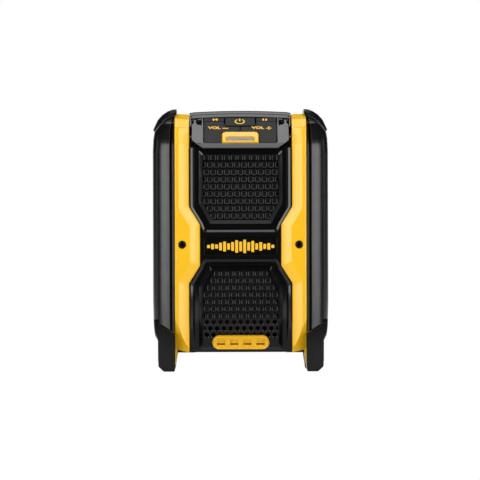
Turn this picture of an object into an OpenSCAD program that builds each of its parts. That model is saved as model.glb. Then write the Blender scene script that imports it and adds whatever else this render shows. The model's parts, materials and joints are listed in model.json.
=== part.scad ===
// Jobsite-style portable speaker: a black moulded core with two perforated grilles,
// waisted yellow side frames and rubber bumpers that end in feet.
// Z is up, the front faces -Y, and the origin is on the ground at the middle of the footprint.

/* [Core housing] */
// Width of the black core that the side frames wrap
core_w = 124; // [118:1:130]
// Distance from the middle to the front and rear faces of the core
core_reach = 58; // [56:0.5:62]
// Height of the underside above the ground
ground_gap = 18.2; // [14:0.2:24]
// Thickness of the moulded walls
wall = 3; // [2.4:0.1:3.4]
// How far the visible front panel stands in front of the core
panel_proud = 1; // [0.6:0.1:1.6]
// Distance that the bottom edge leans back from the face
base_lean = 8; // [5:0.5:10]
// Height of the lean at the bottom edge
base_lean_h = 30; // [24:1:34]

/* [Front layout] */
// Height of the sloping chin above the underside
chin_h = 32.8; // [31:0.2:36]
// Angle by which the chin slopes back
chin_tilt = 27; // [20:1:30]
// Height of the lower recess above the chin
lower_recess_h = 55.4; // [53:0.2:60]
// Height of the bridge between the two recesses
bridge_h = 29.6; // [27:0.2:33]
// Height of the upper recess
upper_recess_h = 80.8; // [78:0.2:86]
// Half width of the recesses
recess_half = 46.5; // [45.5:0.1:47.5]
// Half width of the recesses at the bridge
recess_waist_half = 36.5; // [35:0.5:38]
// Height over which a recess narrows to the bridge
recess_taper_h = 21; // [18:0.5:24]
// Depth of the recesses behind the core's face
recess_depth = 4; // [3:0.1:4.5]

/* [Grilles] */
// Half width of a grille block at its base
block_half = 40.6; // [39.8:0.1:41.4]
// Width of the bevel round a grille block
block_bevel = 4; // [3:0.1:4.5]
// Half width of a block's narrow end
block_end_half = 30; // [28:0.5:31]
// Height over which a block narrows
block_taper_h = 19.5; // [17:0.5:21]
// Gap between a block and the wide end of its recess
block_margin = 1.8; // [1.2:0.1:2.6]
// Gap between a block and the bridge
block_bridge_gap = 7; // [5:0.2:9]
// Thickness of the perforated faces
grille_t = 2.5; // [1.6:0.1:3]
// Diameter of the perforations
hole_d = 4.9; // [4:0.1:5.2]
// Sideways pitch of the perforations
hole_pitch = 6.63; // [6.2:0.01:7]
// Row pitch of the upper grille
upper_row_pitch = 7.06; // [6.6:0.01:7.4]
// Row pitch of the lower grille
lower_row_pitch = 6.81; // [6.5:0.01:7.2]
// Row pitch on the chin
chin_row_pitch = 7.06; // [6.6:0.01:7.2]
// Number of rows on the upper grille
upper_rows = 9; // [6:1:9]
// Number of rows on the lower grille
lower_rows = 7; // [4:1:7]
// Number of rows on the chin
chin_rows = 3; // [1:1:3]

/* [Badge and port] */
// Width of the bare badge plate
badge_w = 71; // [66:1:72]
// Height of the bare badge plate
badge_h = 18; // [15:0.5:19]
// Length of the port trim
port_w = 55.7; // [50:0.1:60]
// Height of the port trim along the chin
port_h = 14.5; // [13:0.1:15]
// How far the port trim stands out of the chin
port_proud = 3; // [2:0.1:4]
// Number of slots in the port trim
port_slots = 4; // [3:1:5]
// Distance of the port trim's centre below the bend, along the chin
port_s = 25.3; // [24.8:0.1:26]
// Bore of the bass port tube
tube_bore = 16; // [14:0.5:16.5]

/* [Side frames] */
// Half width of the front panel between the side frames
panel_half = 50; // [49.5:0.1:51]
// Half width of the front panel at the waist
waist_half = 39.3; // [38.5:0.1:40.5]
// Height of the straight part of the waist
waist_h = 40.4; // [38:0.2:43]
// Height over which a side frame widens to the waist
waist_taper_h = 17; // [15:0.5:19]
// Thickness of the side frame's front strip
strip_t = 4; // [3:0.1:5]
// Width of the bevel along the strip's inner edge
strip_bevel = 6.5; // [5:0.1:8]
// Thickness of the side frame's side wall
frame_wall = 7; // [6:0.1:8]
// How far the strip reaches past the core, up to the bumper
strip_lip = 2.4; // [2:0.1:3]
// Height of the side frame above the joint of the top cover
frame_rise = 33.6; // [33:0.1:35]
// Diameter of the screw recess in the waist
screw_recess_d = 7.9; // [7.4:0.1:8.4]
// Distance of that screw from the bumper
screw_inset = 7.6; // [6.5:0.1:8.5]

/* [Bumpers] */
// Thickness of a bumper at the side
bumper_wall = 16.1; // [14:0.1:18]
// How far a bumper stands in front of the core
bumper_proud = 8; // [7:0.1:9]
// How far a foot stands in front of the bumper
foot_proud = 4; // [3:0.1:5]
// Height of a foot block
foot_h = 46; // [42:1:50]
// Height of the arch between the front and rear feet
arch_h = 12; // [8:0.5:14]
// Length of the arch between the front and rear feet
arch_len = 72; // [60:1:80]
// Thickness of a corner guard
guard_t = 6; // [4.5:0.1:6.5]
// Length of a corner guard from front to back
guard_len = 88; // [76:1:96]

/* [Controls] */
// Angle of the control face above the horizontal
control_tilt = 32; // [28:1:34]
// Distance of the control face's front edge behind the core's face
control_setback = 6; // [5:0.2:8]
// Half width of the keypad
keypad_half = 35.6; // [34.6:0.1:36.6]
// Length of the keypad along the slope
keypad_len = 47.5; // [46:0.1:48.5]
// How far the surround stands above the keypad
surround_proud = 1.5; // [1:0.1:2]
// Half width of the power button
power_half = 15.4; // [14:0.1:17]
// Length of the power button along the slope
power_len = 16.4; // [15:0.1:18]
// Length of the two upper side buttons along the slope
upper_key_len = 6.6; // [6:0.1:8]
// Half width of the indicator bezel
bezel_half = 18; // [16:0.1:20]
// Length of the indicator bezel along the slope
bezel_len = 20.2; // [18:0.1:22]
// Thickness of the button caps
cap_t = 3; // [2.4:0.1:3.4]
// Travel of the buttons
button_travel = 1; // [0.6:0.1:1.2]
// Gap round a moving button
button_gap = 0.35; // [0.25:0.05:0.45]
// Height of the ridge above the joint of the top cover
ridge_rise = 35.6; // [35:0.1:36.6]
// Length of the ridge from front to back
ridge_len = 13; // [11:0.5:15]
// Width of the finger recess behind the ridge
grip_w = 84; // [76:1:88]
// Length of the finger recess from front to back
grip_len = 30; // [26:0.5:34]
// Depth of the finger recess
grip_depth = 18; // [14:0.5:20]

/* [Battery bay] */
// Width of the battery bay
bay_w = 82; // [78:1:86]
// Depth of the battery bay
bay_depth = 32; // [28:1:34]
// Height of the bay's floor end above the underside
bay_base = 10; // [8:0.5:14]
// Length of the straight part of the bay
bay_len = 116; // [106:1:120]
// Length of the ramp at the top of the bay
bay_ramp = 24; // [20:1:28]
// Spacing of the slide rails
rail_gap = 57; // [54:0.5:60]
// Height of the slide rails above the bay's floor
rail_h = 9; // [8:0.5:11]

/* [Sockets] */
// Width of the socket cover
cover_w = 58; // [52:1:62]
// Height of the socket cover
cover_h = 26; // [24:0.5:28]
// Thickness of the socket cover
cover_t = 3; // [2.4:0.1:3.4]
// Depth of the socket recess
socket_depth = 8; // [7:0.5:10]

/* [Drivers] */
// Width of the square driver frames
driver_w = 72; // [68:1:73]
// Distance of a driver frame from the end of the baffle
driver_margin = 1.4; // [1:0.1:3]
// Outer radius of the cones
cone_r = 26; // [24:0.5:27]
// Depth of the cones
cone_depth = 13; // [11:0.5:14]
// Radius of the voice coil
coil_r = 9.6; // [9:0.1:10.5]
// Radius of the magnets
magnet_r = 25; // [22:0.5:27]
// Travel of the cones each way
cone_travel = 2; // [1:0.1:2.2]

/* [Fit] */
// Clearance between fixed pieces
fit = 0.2; // [0.15:0.01:0.25]
// Clearance at the socket cover's hinge
hinge_gap = 0.3; // [0.2:0.05:0.35]

/* [Hidden] */
$fn = 48;
black = [0.09, 0.09, 0.09];
yellow = [0.98, 0.72, 0.09];
// Places along Y
face_y = -core_reach;
rear_y = core_reach;
floor_y = face_y + recess_depth;
inner_y = floor_y + wall;
strip_y = face_y - strip_t;
bumper_y = face_y - bumper_proud;
foot_y = bumper_y - foot_proud;
lip_y = face_y + 2;
baffle_y = inner_y + 7;
driver_y = baffle_y + 3;
flange_y = driver_y + 0.8;
flange_t = 2;
cone_y = driver_y - 1;
magnet_y = cone_y + cone_depth + 4 + cone_travel;
magnet_t = 14;
bay_y = rear_y - bay_depth;
main_board_y = 9.4;
socket_y = rear_y - cover_t - socket_depth;
socket_board_y = socket_y - 12.6;
// Heights
bend_z = ground_gap + chin_h;
bridge_z0 = bend_z + lower_recess_h;
bridge_z1 = bridge_z0 + bridge_h;
joint_z = bridge_z1 + upper_recess_h;
badge_z = (bridge_z0 + bridge_z1) / 2;
waist_z = badge_z + 1.8;
frame_top = joint_z + frame_rise;
grille_flange_t = 2;
flange_back = recess_depth + wall + grille_flange_t;
baffle_z0 = bend_z + flange_back * tan(chin_tilt / 2)
    - (baffle_y - face_y - flange_back) / tan(chin_tilt) + 1;
baffle_z1 = joint_z - 3;
upper_axis = baffle_z1 - driver_margin - driver_w / 2;
lower_axis = baffle_z0 + driver_margin + driver_w / 2;
bay_z0 = ground_gap + bay_base;
bay_z1 = bay_z0 + bay_len;
main_board_z0 = bay_z0 + 30;
main_board_z1 = main_board_z0 + 78;
board_boss_heights = [main_board_z0 + 8, main_board_z1 - 8];
boss_heights = [bend_z + 8, badge_z, joint_z - 8];
rear_screw_heights = [ground_gap + 24, waist_z, joint_z - 14];
cover_z = joint_z - 8 - cover_h;
sole_t = 4;
// Half widths
core_half = core_w / 2;
flange_half = core_half + strip_lip;
frame_half = core_half + frame_wall;
bumper_half = frame_half + bumper_wall;
cover_top_half = panel_half - fit;
side_screw_x = flange_half - screw_inset;
boss_x = recess_half + 1.5;
board_boss_x = 30;
board_half = 36;
driver_screw_x = driver_w / 2 - 6;
// Legs inside the feet
leg_y0 = arch_len / 2 + 2;
leg_y1 = 50;
// Chin and grilles
chin_len = chin_h / cos(chin_tilt);
chin_half = recess_half - 2.3;
chin_step = 0.3;
chin_row_gap = 3.7;
upper_row_margin = 0.9;
lower_row_margin = 0.3;
block_foot = 2;
block_land = 0.8;
flange_gap = 0.05;
flange_lip = 1.4;
spigot_h = 8;
// Grooves in the bumpers' sides
flute_t = 2.2;
flute_len = 64;
flutes = 8;
flute_pitch = (joint_z - foot_h - 53) / flutes;
// Controls: w is measured out of the keypad, v up its slope
control_y = face_y + control_setback;
control_z = joint_z + 5.2;
ridge_y = control_y + keypad_len * cos(control_tilt) + 1;
ridge_top = joint_z + ridge_rise;
ridge_crown = 1.6;
carrier_w = -cap_t - button_travel - 0.3;
carrier_t = 2;
stem_w = carrier_w - carrier_t - 0.5;
stem_r = 1.8;
switch_h = 1.8;
board_w = stem_w - button_travel - 0.2 - switch_h;
board_t = 1.6;
power_v = keypad_len - power_len / 2;
upper_key_x = (power_half + keypad_half) / 2;
upper_key_v = keypad_len - upper_key_len / 2;
volume_x = (bezel_half + keypad_half) / 2;
volume_v = (keypad_len - upper_key_len) / 2;
stem_places = [[0, power_v], [upper_key_x, upper_key_v], [-upper_key_x, upper_key_v],
    [volume_x, volume_v], [-volume_x, volume_v]];
post_x = 31;
post_vs = [10, keypad_len - 10];
bezel_proud = 1;
lens_half = 13;
lens_v0 = 3.4;
lens_len = 7;
// Sockets and their cover
hinge_r = 2.2;
pin_r = 1.2;
pin_len = 3;
axis_y = rear_y - hinge_r;
axis_z = cover_z + 2;
socket_half = cover_w / 2 - 4;
socket_z1 = cover_z + cover_h - 3;
usb_w = 13.2;
usb_h = 5.8;
jack_x = 15;
jack_r = 4;
// Battery dock
dock_t = 4;
dock_len = 95;
block_w = 32;
block_h = 20;
blades = 4;
blade_pitch = 7;
blade_len = 14;
// Drivers
seat_r = cone_r + 5.3;
gap_r = coil_r + 0.6;
pole_r = coil_r - 1;
window_len = 9;
// Bosses and screws
boss_r = 3.5;
screw_r = 1.5;
pilot_r = 1.6;
hole_r = 1.9;

// Outline tools: a point is [x, z] for the front view, outlines run counter-clockwise
function unit(v) = v / norm(v);
function turn(p, c, n) = (c.x - p.x) * (n.y - c.y) - (c.y - p.y) * (n.x - c.x);
function corner(p, c, n, r, steps) =
    let (u = unit(p - c), w = unit(n - c), half = acos(u * w) / 2)
    let (mid = c + unit(u + w) * r / sin(half), t = c + u * r / tan(half))
    let (a0 = atan2(t.y - mid.y, t.x - mid.x), sweep = sign(turn(p, c, n)) * (180 - 2 * half))
    [for (i = [0:steps]) mid + r * [cos(a0 + sweep * i / steps), sin(a0 + sweep * i / steps)]];
function rounded(pts, r, steps = 4) = [for (i = [0:len(pts) - 1])
    each corner(pts[(i + len(pts) - 1) % len(pts)], pts[i], pts[(i + 1) % len(pts)], r, steps)];
function inward(a, b) = let (d = unit(b - a)) [-d.y, d.x];
function inset(pts, d) = [for (i = [0:len(pts) - 1])
    let (a = pts[(i + len(pts) - 1) % len(pts)], b = pts[i], c = pts[(i + 1) % len(pts)])
    let (m = inward(a, b), n = inward(b, c))
    b + d * (m + n) / (1 + m * n)];

// A plate with a front-view outline, from y0 back to y1
module slab(pts, y0, y1) {
    translate([0, y1, 0]) rotate([90, 0, 0]) linear_extrude(y1 - y0) polygon(pts);
}

// A bar with a side-view outline of [y, z] points, from x0 to x1
module bar(pts, x0, x1) {
    translate([x0, 0, 0]) rotate([90, 0, 90]) linear_extrude(x1 - x0) polygon(pts);
}

// A block whose outline changes from front_pts at y0 to back_pts at y1
module loft(front_pts, back_pts, y0, y1) {
    n = len(front_pts);
    polyhedron(
        concat([for (p = front_pts) [p.x, y0, p.y]], [for (p = back_pts) [p.x, y1, p.y]]),
        concat([[for (i = [n - 1:-1:0]) i]], [[for (i = [0:n - 1]) n + i]],
            [for (i = [0:n - 1]) [i, (i + 1) % n, n + (i + 1) % n, n + i]]));
}

// A rod along Y at a front-view place
module rod(x, z, r, y0, y1) {
    translate([x, y1, z]) rotate([90, 0, 0]) cylinder(r = r, h = y1 - y0);
}

module mirrored() {
    mirror([1, 0, 0]) children();
}

module on_chin() {
    translate([0, face_y, bend_z]) rotate([chin_tilt, 0, 0]) children();
}

module on_controls() {
    translate([0, control_y, control_z]) rotate([control_tilt, 0, 0]) children();
}

// Front-view outlines
function box_outline(half, z0, z1) = [[-half, z0], [half, z0], [half, z1], [-half, z1]];
function pill(w, h, z) = [for (a = [-90:15:90]) [w / 2 - h / 2 + h / 2 * cos(a), z + h / 2 * sin(a)],
    for (a = [90:15:270]) [h / 2 - w / 2 + h / 2 * cos(a), z + h / 2 * sin(a)]];
function recess_upper() = [[-recess_waist_half, bridge_z1], [recess_waist_half, bridge_z1],
    [recess_half, bridge_z1 + recess_taper_h], [recess_half, joint_z + 3],
    [-recess_half, joint_z + 3], [-recess_half, bridge_z1 + recess_taper_h]];
function recess_lower() = [[-recess_half, ground_gap - 3], [recess_half, ground_gap - 3],
    [recess_half, bridge_z0 - recess_taper_h], [recess_waist_half, bridge_z0],
    [-recess_waist_half, bridge_z0], [-recess_half, bridge_z0 - recess_taper_h]];
function block_upper() = let (z0 = bridge_z1 + block_bridge_gap, z1 = joint_z - block_margin)
    [[-block_end_half, z0], [block_end_half, z0], [block_half, z0 + block_taper_h],
    [block_half, z1], [-block_half, z1], [-block_half, z0 + block_taper_h]];
function block_lower() = let (z1 = bridge_z0 - block_bridge_gap + 2.4)
    [[-block_half, bend_z - block_bevel], [block_half, bend_z - block_bevel],
    [block_half, z1 - block_taper_h], [block_end_half, z1], [-block_end_half, z1],
    [-block_half, z1 - block_taper_h]];
function block_chin() = box_outline(block_half - chin_step, block_foot - chin_len, block_bevel);
function panel_outline(e) = let (w = waist_half - e, p = panel_half - e, h = waist_h / 2)
    let (t = h + waist_taper_h)
    [[-p, ground_gap - 9], [p, ground_gap - 9], [p, waist_z - t], [w, waist_z - h],
    [w, waist_z + h], [p, waist_z + t], [p, frame_top + 9], [-p, frame_top + 9],
    [-p, waist_z + t], [-w, waist_z + h], [-w, waist_z - h], [-p, waist_z - t]];
function frame_outer() = [[frame_half, joint_z + 11], [flange_half, joint_z + 23]];
function frame_outline() = let (h = waist_h / 2, t = h + waist_taper_h)
    [[panel_half, ground_gap], [frame_half, ground_gap + 3.4], each frame_outer(),
    [flange_half, frame_top], [panel_half, frame_top], [panel_half, waist_z + t],
    [waist_half, waist_z + h], [waist_half, waist_z - h], [panel_half, waist_z - t]];
function leg_outline() = [[flange_half - 0.8, sole_t], [frame_half, sole_t],
    [frame_half, ground_gap + 6], [flange_half - 0.8, ground_gap + 6]];
// Outer corner of a bumper, from the side up to the inner end of the top
function bumper_corner() = [[bumper_half - 1.4, joint_z + 16.5],
    [bumper_half - 5.8, joint_z + 22.3], [bumper_half - 9.7, joint_z + 26.2],
    [bumper_half - 15.2, joint_z + 29.1], [flange_half, joint_z + 31.1]];
function bumper_outline() = [[flange_half, 2.4], [flange_half + 2.3, 0],
    [bumper_half - 8.7, 0], [bumper_half - 5.3, 4.9], [bumper_half - 4.1, 8.7],
    [bumper_half - 4.1, foot_h - 16.8], [bumper_half - 2.2, foot_h - 9],
    [bumper_half - 0.9, foot_h - 1.3], [bumper_half, foot_h + 23], [bumper_half, joint_z - 1],
    [bumper_half - 0.5, joint_z + 9], each bumper_corner()];
function guard_outline() = concat([[flange_half - 2.4, frame_top + fit],
    [flange_half, frame_top + fit]], [for (i = [4:-1:0]) bumper_corner()[i]],
    [[bumper_half - 0.2, joint_z + 18], [bumper_half - 4.6, joint_z + 21.8 + guard_t],
    [bumper_half - 9.4, joint_z + 27 + guard_t], [bumper_half - 14.2, joint_z + 30.2 + guard_t],
    [flange_half + 1.6, joint_z + 32.1 + guard_t], [flange_half - 2.4, joint_z + 32.3 + guard_t]]);

// Side-view outlines of [y, z] points
function core_profile(e) = [[0, ground_gap], [0, joint_z], [face_y - e, joint_z],
    [face_y - e, ground_gap + base_lean_h], [face_y + 1.5 - e, ground_gap + base_lean_h * 0.67],
    [face_y + base_lean - e, ground_gap]];
function core_section() = let (z1 = ground_gap + base_lean_h, y1 = face_y + base_lean)
    [[y1, ground_gap - 9], [-y1, ground_gap - 9], [-y1, ground_gap],
    [-face_y - 1.5, ground_gap + base_lean_h * 0.67], [-face_y, z1], [-face_y, joint_z],
    [face_y, joint_z], [face_y, z1], [face_y + 1.5, ground_gap + base_lean_h * 0.67],
    [y1, ground_gap]];
function chin_y(depth, z) = face_y + depth + (bend_z + depth * tan(chin_tilt / 2) - z)
    * tan(chin_tilt);
function hollow_profile(depth, z0) = [[1, z0], [1, joint_z + 1], [face_y + depth, joint_z + 1],
    [face_y + depth, bend_z + depth * tan(chin_tilt / 2)], [chin_y(depth, z0), z0]];
function chin_cut() = [[face_y - 9, ground_gap - 1], [chin_y(recess_depth, ground_gap - 1),
    ground_gap - 1], [chin_y(recess_depth, bend_z + 4), bend_z + 4], [face_y - 9, bend_z + 4]];
function lean(y) = [[y + base_lean, ground_gap], [-y - base_lean, ground_gap],
    [-y - 1.5, ground_gap + base_lean_h * 0.67], [-y, ground_gap + base_lean_h]];
function frame_profile() = let (y = strip_y) concat(lean(y), [[-y, joint_z + 3.8],
    [-y - 3.5, joint_z + 20.2], [-y - 12, joint_z + 28.2], [-y - 26, frame_top],
    [y + 26, frame_top], [y + 12, joint_z + 28.2], [y + 3.5, joint_z + 20.2],
    [y, joint_z + 3.8], [y, ground_gap + base_lean_h], [y + 1.5, ground_gap + base_lean_h * 0.67]]);
function bumper_profile() = let (y = bumper_y) [[y, 0], [-y, 0], [-y, joint_z + 1.5],
    [-y - 4, joint_z + 15], [-y - 14, joint_z + 26], [-y - 26, joint_z + 31.5],
    [y + 26, joint_z + 31.5], [y + 14, joint_z + 26], [y + 4, joint_z + 15], [y, joint_z + 1.5]];
function foot_profile() = let (y = foot_y) [[y + 2, 0], [-y - 2, 0], [-y, 2], [-y, foot_h - 5],
    [bumper_proud + core_reach, foot_h + 1], [bumper_y, foot_h + 1], [y, foot_h - 5], [y, 2]];
// Where a line at the control angle, w above the keypad, meets a distance y
function slope_z(w, y) = control_z + w / cos(control_tilt) + (y - control_y) * tan(control_tilt);
function cover_profile() = [[face_y, joint_z], [rear_y, joint_z], [rear_y, joint_z + 4],
    [rear_y - 0.5, joint_z + 17], [rear_y - 8, joint_z + 28], [rear_y - 14, joint_z + 32.6],
    [ridge_y + ridge_len + 1.5, joint_z + 32.6], [ridge_y + ridge_len, ridge_top],
    [ridge_y + 1, ridge_top], [ridge_y, slope_z(surround_proud, ridge_y)],
    [face_y, slope_z(surround_proud, face_y)]];
function cover_hollow() = let (y0 = face_y + wall, y1 = rear_y - wall, y2 = ridge_y + 2)
    let (y3 = control_y + (joint_z - 0.5 - slope_z(carrier_w, control_y)) / tan(control_tilt))
    [[y0, joint_z - 1], [y1, joint_z - 1], [y1, joint_z + 4], [y1 - 0.5, joint_z + 15],
    [y1 - 7, joint_z + 25.4], [y1 - 12, joint_z + 32.6 - wall], [y2, joint_z + 32.6 - wall],
    [y2, slope_z(carrier_w, y2)], [max(y3, y0 + 0.2), joint_z - 0.5], [y0, joint_z - 0.5]];
function bay_profile(e) = [[bay_y - e, bay_z0 - e], [rear_y + 5 * (1 - sign(e)), bay_z0 - e],
    [rear_y + 5 * (1 - sign(e)), bay_z1 + bay_ramp * (1 + 5 * (1 - sign(e)) / bay_depth) + e],
    [bay_y - e, bay_z1 + e]];

// Plan outline of a bumper's rounded column and the groove beside it
function column_outline() = let (y = bumper_y, x = bumper_half, g = flange_half)
    let (front = [[g, y + 4.5], [g + 2.2, y + 4.5], [g + 3.4, y + 5.7], [g + 4.9, y + 1.5],
        [g + 7, y + 0.2], [x - 9.1, y], [x - 5.6, y + 1.8], [x - 2.6, y + 6], [x - 0.6, y + 13],
        [x, y + 20]])
    concat(front, [for (i = [len(front) - 1:-1:0]) [front[i].x, -front[i].y]]);

module front_panel() {
    color(black) difference() {
        union() {
            bar(core_profile(0), -core_half, core_half);
            intersection() {
                bar(core_profile(panel_proud), -core_half, core_half);
                slab(panel_outline(fit), face_y - 9, 0);
            }
        }
        difference() {
            bar(hollow_profile(recess_depth + wall, ground_gap + wall), wall - core_half,
                core_half - wall);
            for (x = [-1, 1] * boss_x, z = boss_heights) rod(x, z, boss_r, inner_y - 1, baffle_y);
            for (x = [-1, 1] * side_screw_x) rod(x, waist_z, boss_r, inner_y - 1, inner_y + 14);
        }
        loft(rounded(recess_upper(), 2), rounded(inset(recess_upper(), 2), 1.5),
            face_y - panel_proud - 0.01, floor_y);
        loft(rounded(recess_lower(), 2), rounded(inset(recess_lower(), 2), 1.5),
            face_y - panel_proud - 0.01, floor_y);
        bar(chin_cut(), -chin_half, chin_half);
        slab(inset(block_upper(), -fit), floor_y - 1, inner_y + 1);
        slab(inset(block_lower(), -fit), floor_y - 1, inner_y + 1);
        on_chin() slab(inset(block_chin(), -fit), recess_depth - 2, recess_depth + wall + 1);
        slab(rounded(box_outline(badge_w / 2 + fit, badge_z - badge_h / 2 - fit,
            badge_z + badge_h / 2 + fit), 2), face_y - panel_proud - 1, face_y);
        for (x = [-1, 1] * boss_x, z = boss_heights) rod(x, z, pilot_r, inner_y, baffle_y + 1);
        for (x = [-1, 1] * side_screw_x) rod(x, waist_z, pilot_r, face_y - 1, inner_y + 15);
    }
}

// Distance of a point inside an outline's edge
function edge_gap(p, a, b) = inward(a, b) * (p - a);
// A hole may run under the bevel at the straight sides, but keeps clear of the other edges
function hole_fits(p, pts) = min([for (i = [0:len(pts) - 1])
    let (a = pts[i], b = pts[(i + 1) % len(pts)], slanted = a.x != b.x && a.y != b.y)
    edge_gap(p, a, b) - block_bevel - (a.x == b.x ? -0.1 : hole_d / 2 + (slanted ? 0.55 : 0.2))]) > 0;
function hole_rows(pts, z0, pitch, rows, first) = [for (i = [0:rows - 1], j = [-9:9])
    let (p = [(j + (i % 2 == first ? 0 : 0.5)) * hole_pitch, z0 - i * pitch])
    if (hole_fits(p, pts)) p];

// Head and body of a grille block, with its face at Y 0
module block(pts) {
    loft(inset(pts, block_bevel), pts, 0, recess_depth);
    slab(pts, recess_depth, recess_depth + wall);
}

// The flange that holds a block behind the panel
module block_flange(pts) {
    slab(inset(pts, -flange_lip), recess_depth + wall, flange_back);
}

module block_hollow(pts) {
    slab(inset(pts, block_bevel + block_land), -1, flange_back + 1);
}

module perforated(pts, holes) {
    translate([0, grille_t, 0]) rotate([90, 0, 0]) linear_extrude(grille_t) difference() {
        polygon(inset(pts, block_bevel + 0.3));
        for (p = holes) translate(p) circle(d = hole_d, $fn = 24);
    }
}

module upper_grille() {
    pts = block_upper();
    z0 = joint_z - block_margin - block_bevel - hole_d / 2 - upper_row_margin;
    color(black) translate([0, face_y, 0]) {
        difference() {
            union() {
                block(pts);
                block_flange(pts);
            }
            block_hollow(pts);
        }
        perforated(pts, hole_rows(pts, z0, upper_row_pitch, upper_rows, 0));
    }
}

module lower_grille() {
    pts = block_lower();
    z0 = pts[3].y - block_bevel - hole_d / 2 - lower_row_margin;
    color(black) {
        difference() {
            union() {
                translate([0, face_y, 0]) block(pts);
                on_chin() block(block_chin());
                intersection() {
                    union() {
                        translate([0, face_y, 0]) block_flange(pts);
                        on_chin() block_flange(block_chin());
                    }
                    bar(hollow_profile(recess_depth + wall + flange_gap, ground_gap), -core_half,
                        core_half);
                }
            }
            translate([0, face_y, 0]) block_hollow(pts);
            on_chin() block_hollow(block_chin());
        }
        translate([0, face_y, 0])
            perforated(pts, hole_rows(pts, z0, lower_row_pitch, lower_rows, 1));
        on_chin() difference() {
            perforated(block_chin(), hole_rows(block_chin(), -chin_row_gap, chin_row_pitch,
                chin_rows, 0));
            slab(pill(port_w - 6, spigot_h + 2 * fit, -port_s), -1, grille_t + 1);
        }
    }
}

module badge_plate() {
    color([0.06, 0.06, 0.06]) slab(rounded(box_outline(badge_w / 2, badge_z - badge_h / 2,
        badge_z + badge_h / 2), 1.8), face_y - panel_proud - 0.2, face_y);
}

module port_trim() {
    cell = (port_w - port_h) / port_slots;
    color(yellow) on_chin() difference() {
        union() {
            loft(inset(pill(port_w, port_h, -port_s), 1.2), pill(port_w, port_h, -port_s),
                -port_proud, 1.2 - port_proud);
            slab(pill(port_w, port_h, -port_s), 1.2 - port_proud, 0);
            slab(pill(port_w - 6 - 2 * fit, spigot_h, -port_s), -0.5, grille_t);
        }
        for (i = [0:port_slots - 1]) translate([(i - (port_slots - 1) / 2) * cell, 0, 0]) {
            slab(rounded(box_outline(cell / 2 - 1.8, -port_s - 4.6, -port_s + 4.2), 1.2),
                -port_proud - 1, -port_proud / 2);
            slab(box_outline(cell / 2 - 2.2, -port_s - 3.4, -port_s - 0.8), -port_proud, grille_t + 1);
        }
    }
}

module bass_port_tube() {
    mouth = flange_back + fit;
    color([0.12, 0.12, 0.12]) on_chin() difference() {
        union() {
            slab(pill(port_w - 8, 9, -port_s), grille_t, mouth + 1);
            slab(pill(port_w - 8, tube_bore + 5, -port_s), mouth, mouth + 2);
            rod(0, -port_s, tube_bore / 2 + 1.5, mouth, mouth + 16);
        }
        slab(pill(port_w - 12, 6, -port_s), grille_t - 1, mouth + 1.2);
        rod(0, -port_s, tube_bore / 2, mouth + 1, mouth + 17);
    }
}

module right_side_frame() {
    color(yellow) difference() {
        union() {
            intersection() {
                bar(frame_profile(), waist_half - 1, frame_half);
                slab(frame_outline(), strip_y - 1, -strip_y + 1);
            }
            for (y = [-leg_y1, leg_y0]) slab(leg_outline(), y, y + leg_y1 - leg_y0);
        }
        bar(core_section(), 0, core_half + fit);
        slab(box_outline(panel_half, ground_gap - 1, frame_top + 1), 0, rear_y + 9);
        translate([flange_half, strip_y - 1, ground_gap - 1])
            cube([frame_wall, lip_y + 1 - strip_y, frame_rise + joint_z]);
        translate([flange_half, -lip_y, ground_gap - 1])
            cube([frame_wall, lip_y + 1 - strip_y, frame_rise + joint_z]);
        translate([panel_half + wall, strip_y + 18, joint_z - 1])
            cube([flange_half - panel_half - 2 * wall, -2 * strip_y - 36, frame_rise - 9]);
        loft(inset(panel_outline(0), -strip_bevel), panel_outline(0), strip_y - 0.01,
            face_y - panel_proud);
        rod(side_screw_x, waist_z, screw_recess_d / 2, strip_y - 1, strip_y + 2);
        rod(side_screw_x, waist_z, hole_r, strip_y, face_y + 1);
        for (z = rear_screw_heights) {
            rod(side_screw_x, z, screw_recess_d / 2, -strip_y - 2, -strip_y + 1);
            rod(side_screw_x, z, hole_r, rear_y - 1, -strip_y);
        }
    }
}

module left_side_frame() {
    mirrored() right_side_frame();
}

module right_bumper() {
    inner = [[0, sole_t], [frame_half, sole_t], each frame_outer(), [flange_half, frame_top + 9],
        [0, frame_top + 9]];
    foot = [[flange_half, foot_y], [bumper_half - 6.6, foot_y], [bumper_half - 4.1, bumper_y],
        [bumper_half - 4.1, -bumper_y], [bumper_half - 6.6, -foot_y], [flange_half, -foot_y]];
    color([0.11, 0.11, 0.11]) difference() {
        union() {
            intersection() {
                slab(bumper_outline(), bumper_y - 1, 1 - bumper_y);
                bar(bumper_profile(), flange_half - 1, bumper_half + 1);
                linear_extrude(joint_z + 40) polygon(column_outline());
            }
            intersection() {
                slab(bumper_outline(), foot_y - 1, 1 - foot_y);
                bar(foot_profile(), flange_half, bumper_half);
                linear_extrude(foot_h + 2) polygon(foot);
            }
        }
        slab(inner, lip_y, -lip_y);
        translate([flange_half - 1, -arch_len / 2, -1]) cube([40, arch_len, arch_h + 1]);
        difference() {
            translate([bumper_half - flute_t, -flute_len / 2, foot_h + 26])
                cube([flute_t + 1, flute_len, joint_z - foot_h - 46]);
            for (i = [0:flutes - 1])
                translate([bumper_half - flute_t - 1, -flute_len / 2 - 1,
                    foot_h + 32 + i * flute_pitch])
                    cube([flute_t, flute_len + 2, 5]);
        }
    }
}

module left_bumper() {
    mirrored() right_bumper();
}

module right_corner_guard() {
    y = guard_len / 2;
    top = joint_z + 33 + guard_t;
    color([0.14, 0.14, 0.14]) intersection() {
        slab(guard_outline(), -y, y);
        bar([[-y, joint_z], [y, joint_z], [y, top - 7], [y - 5, top], [5 - y, top], [-y, top - 7]],
            core_half - 5, bumper_half + 5);
    }
}

module left_corner_guard() {
    mirrored() right_corner_guard();
}

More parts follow.
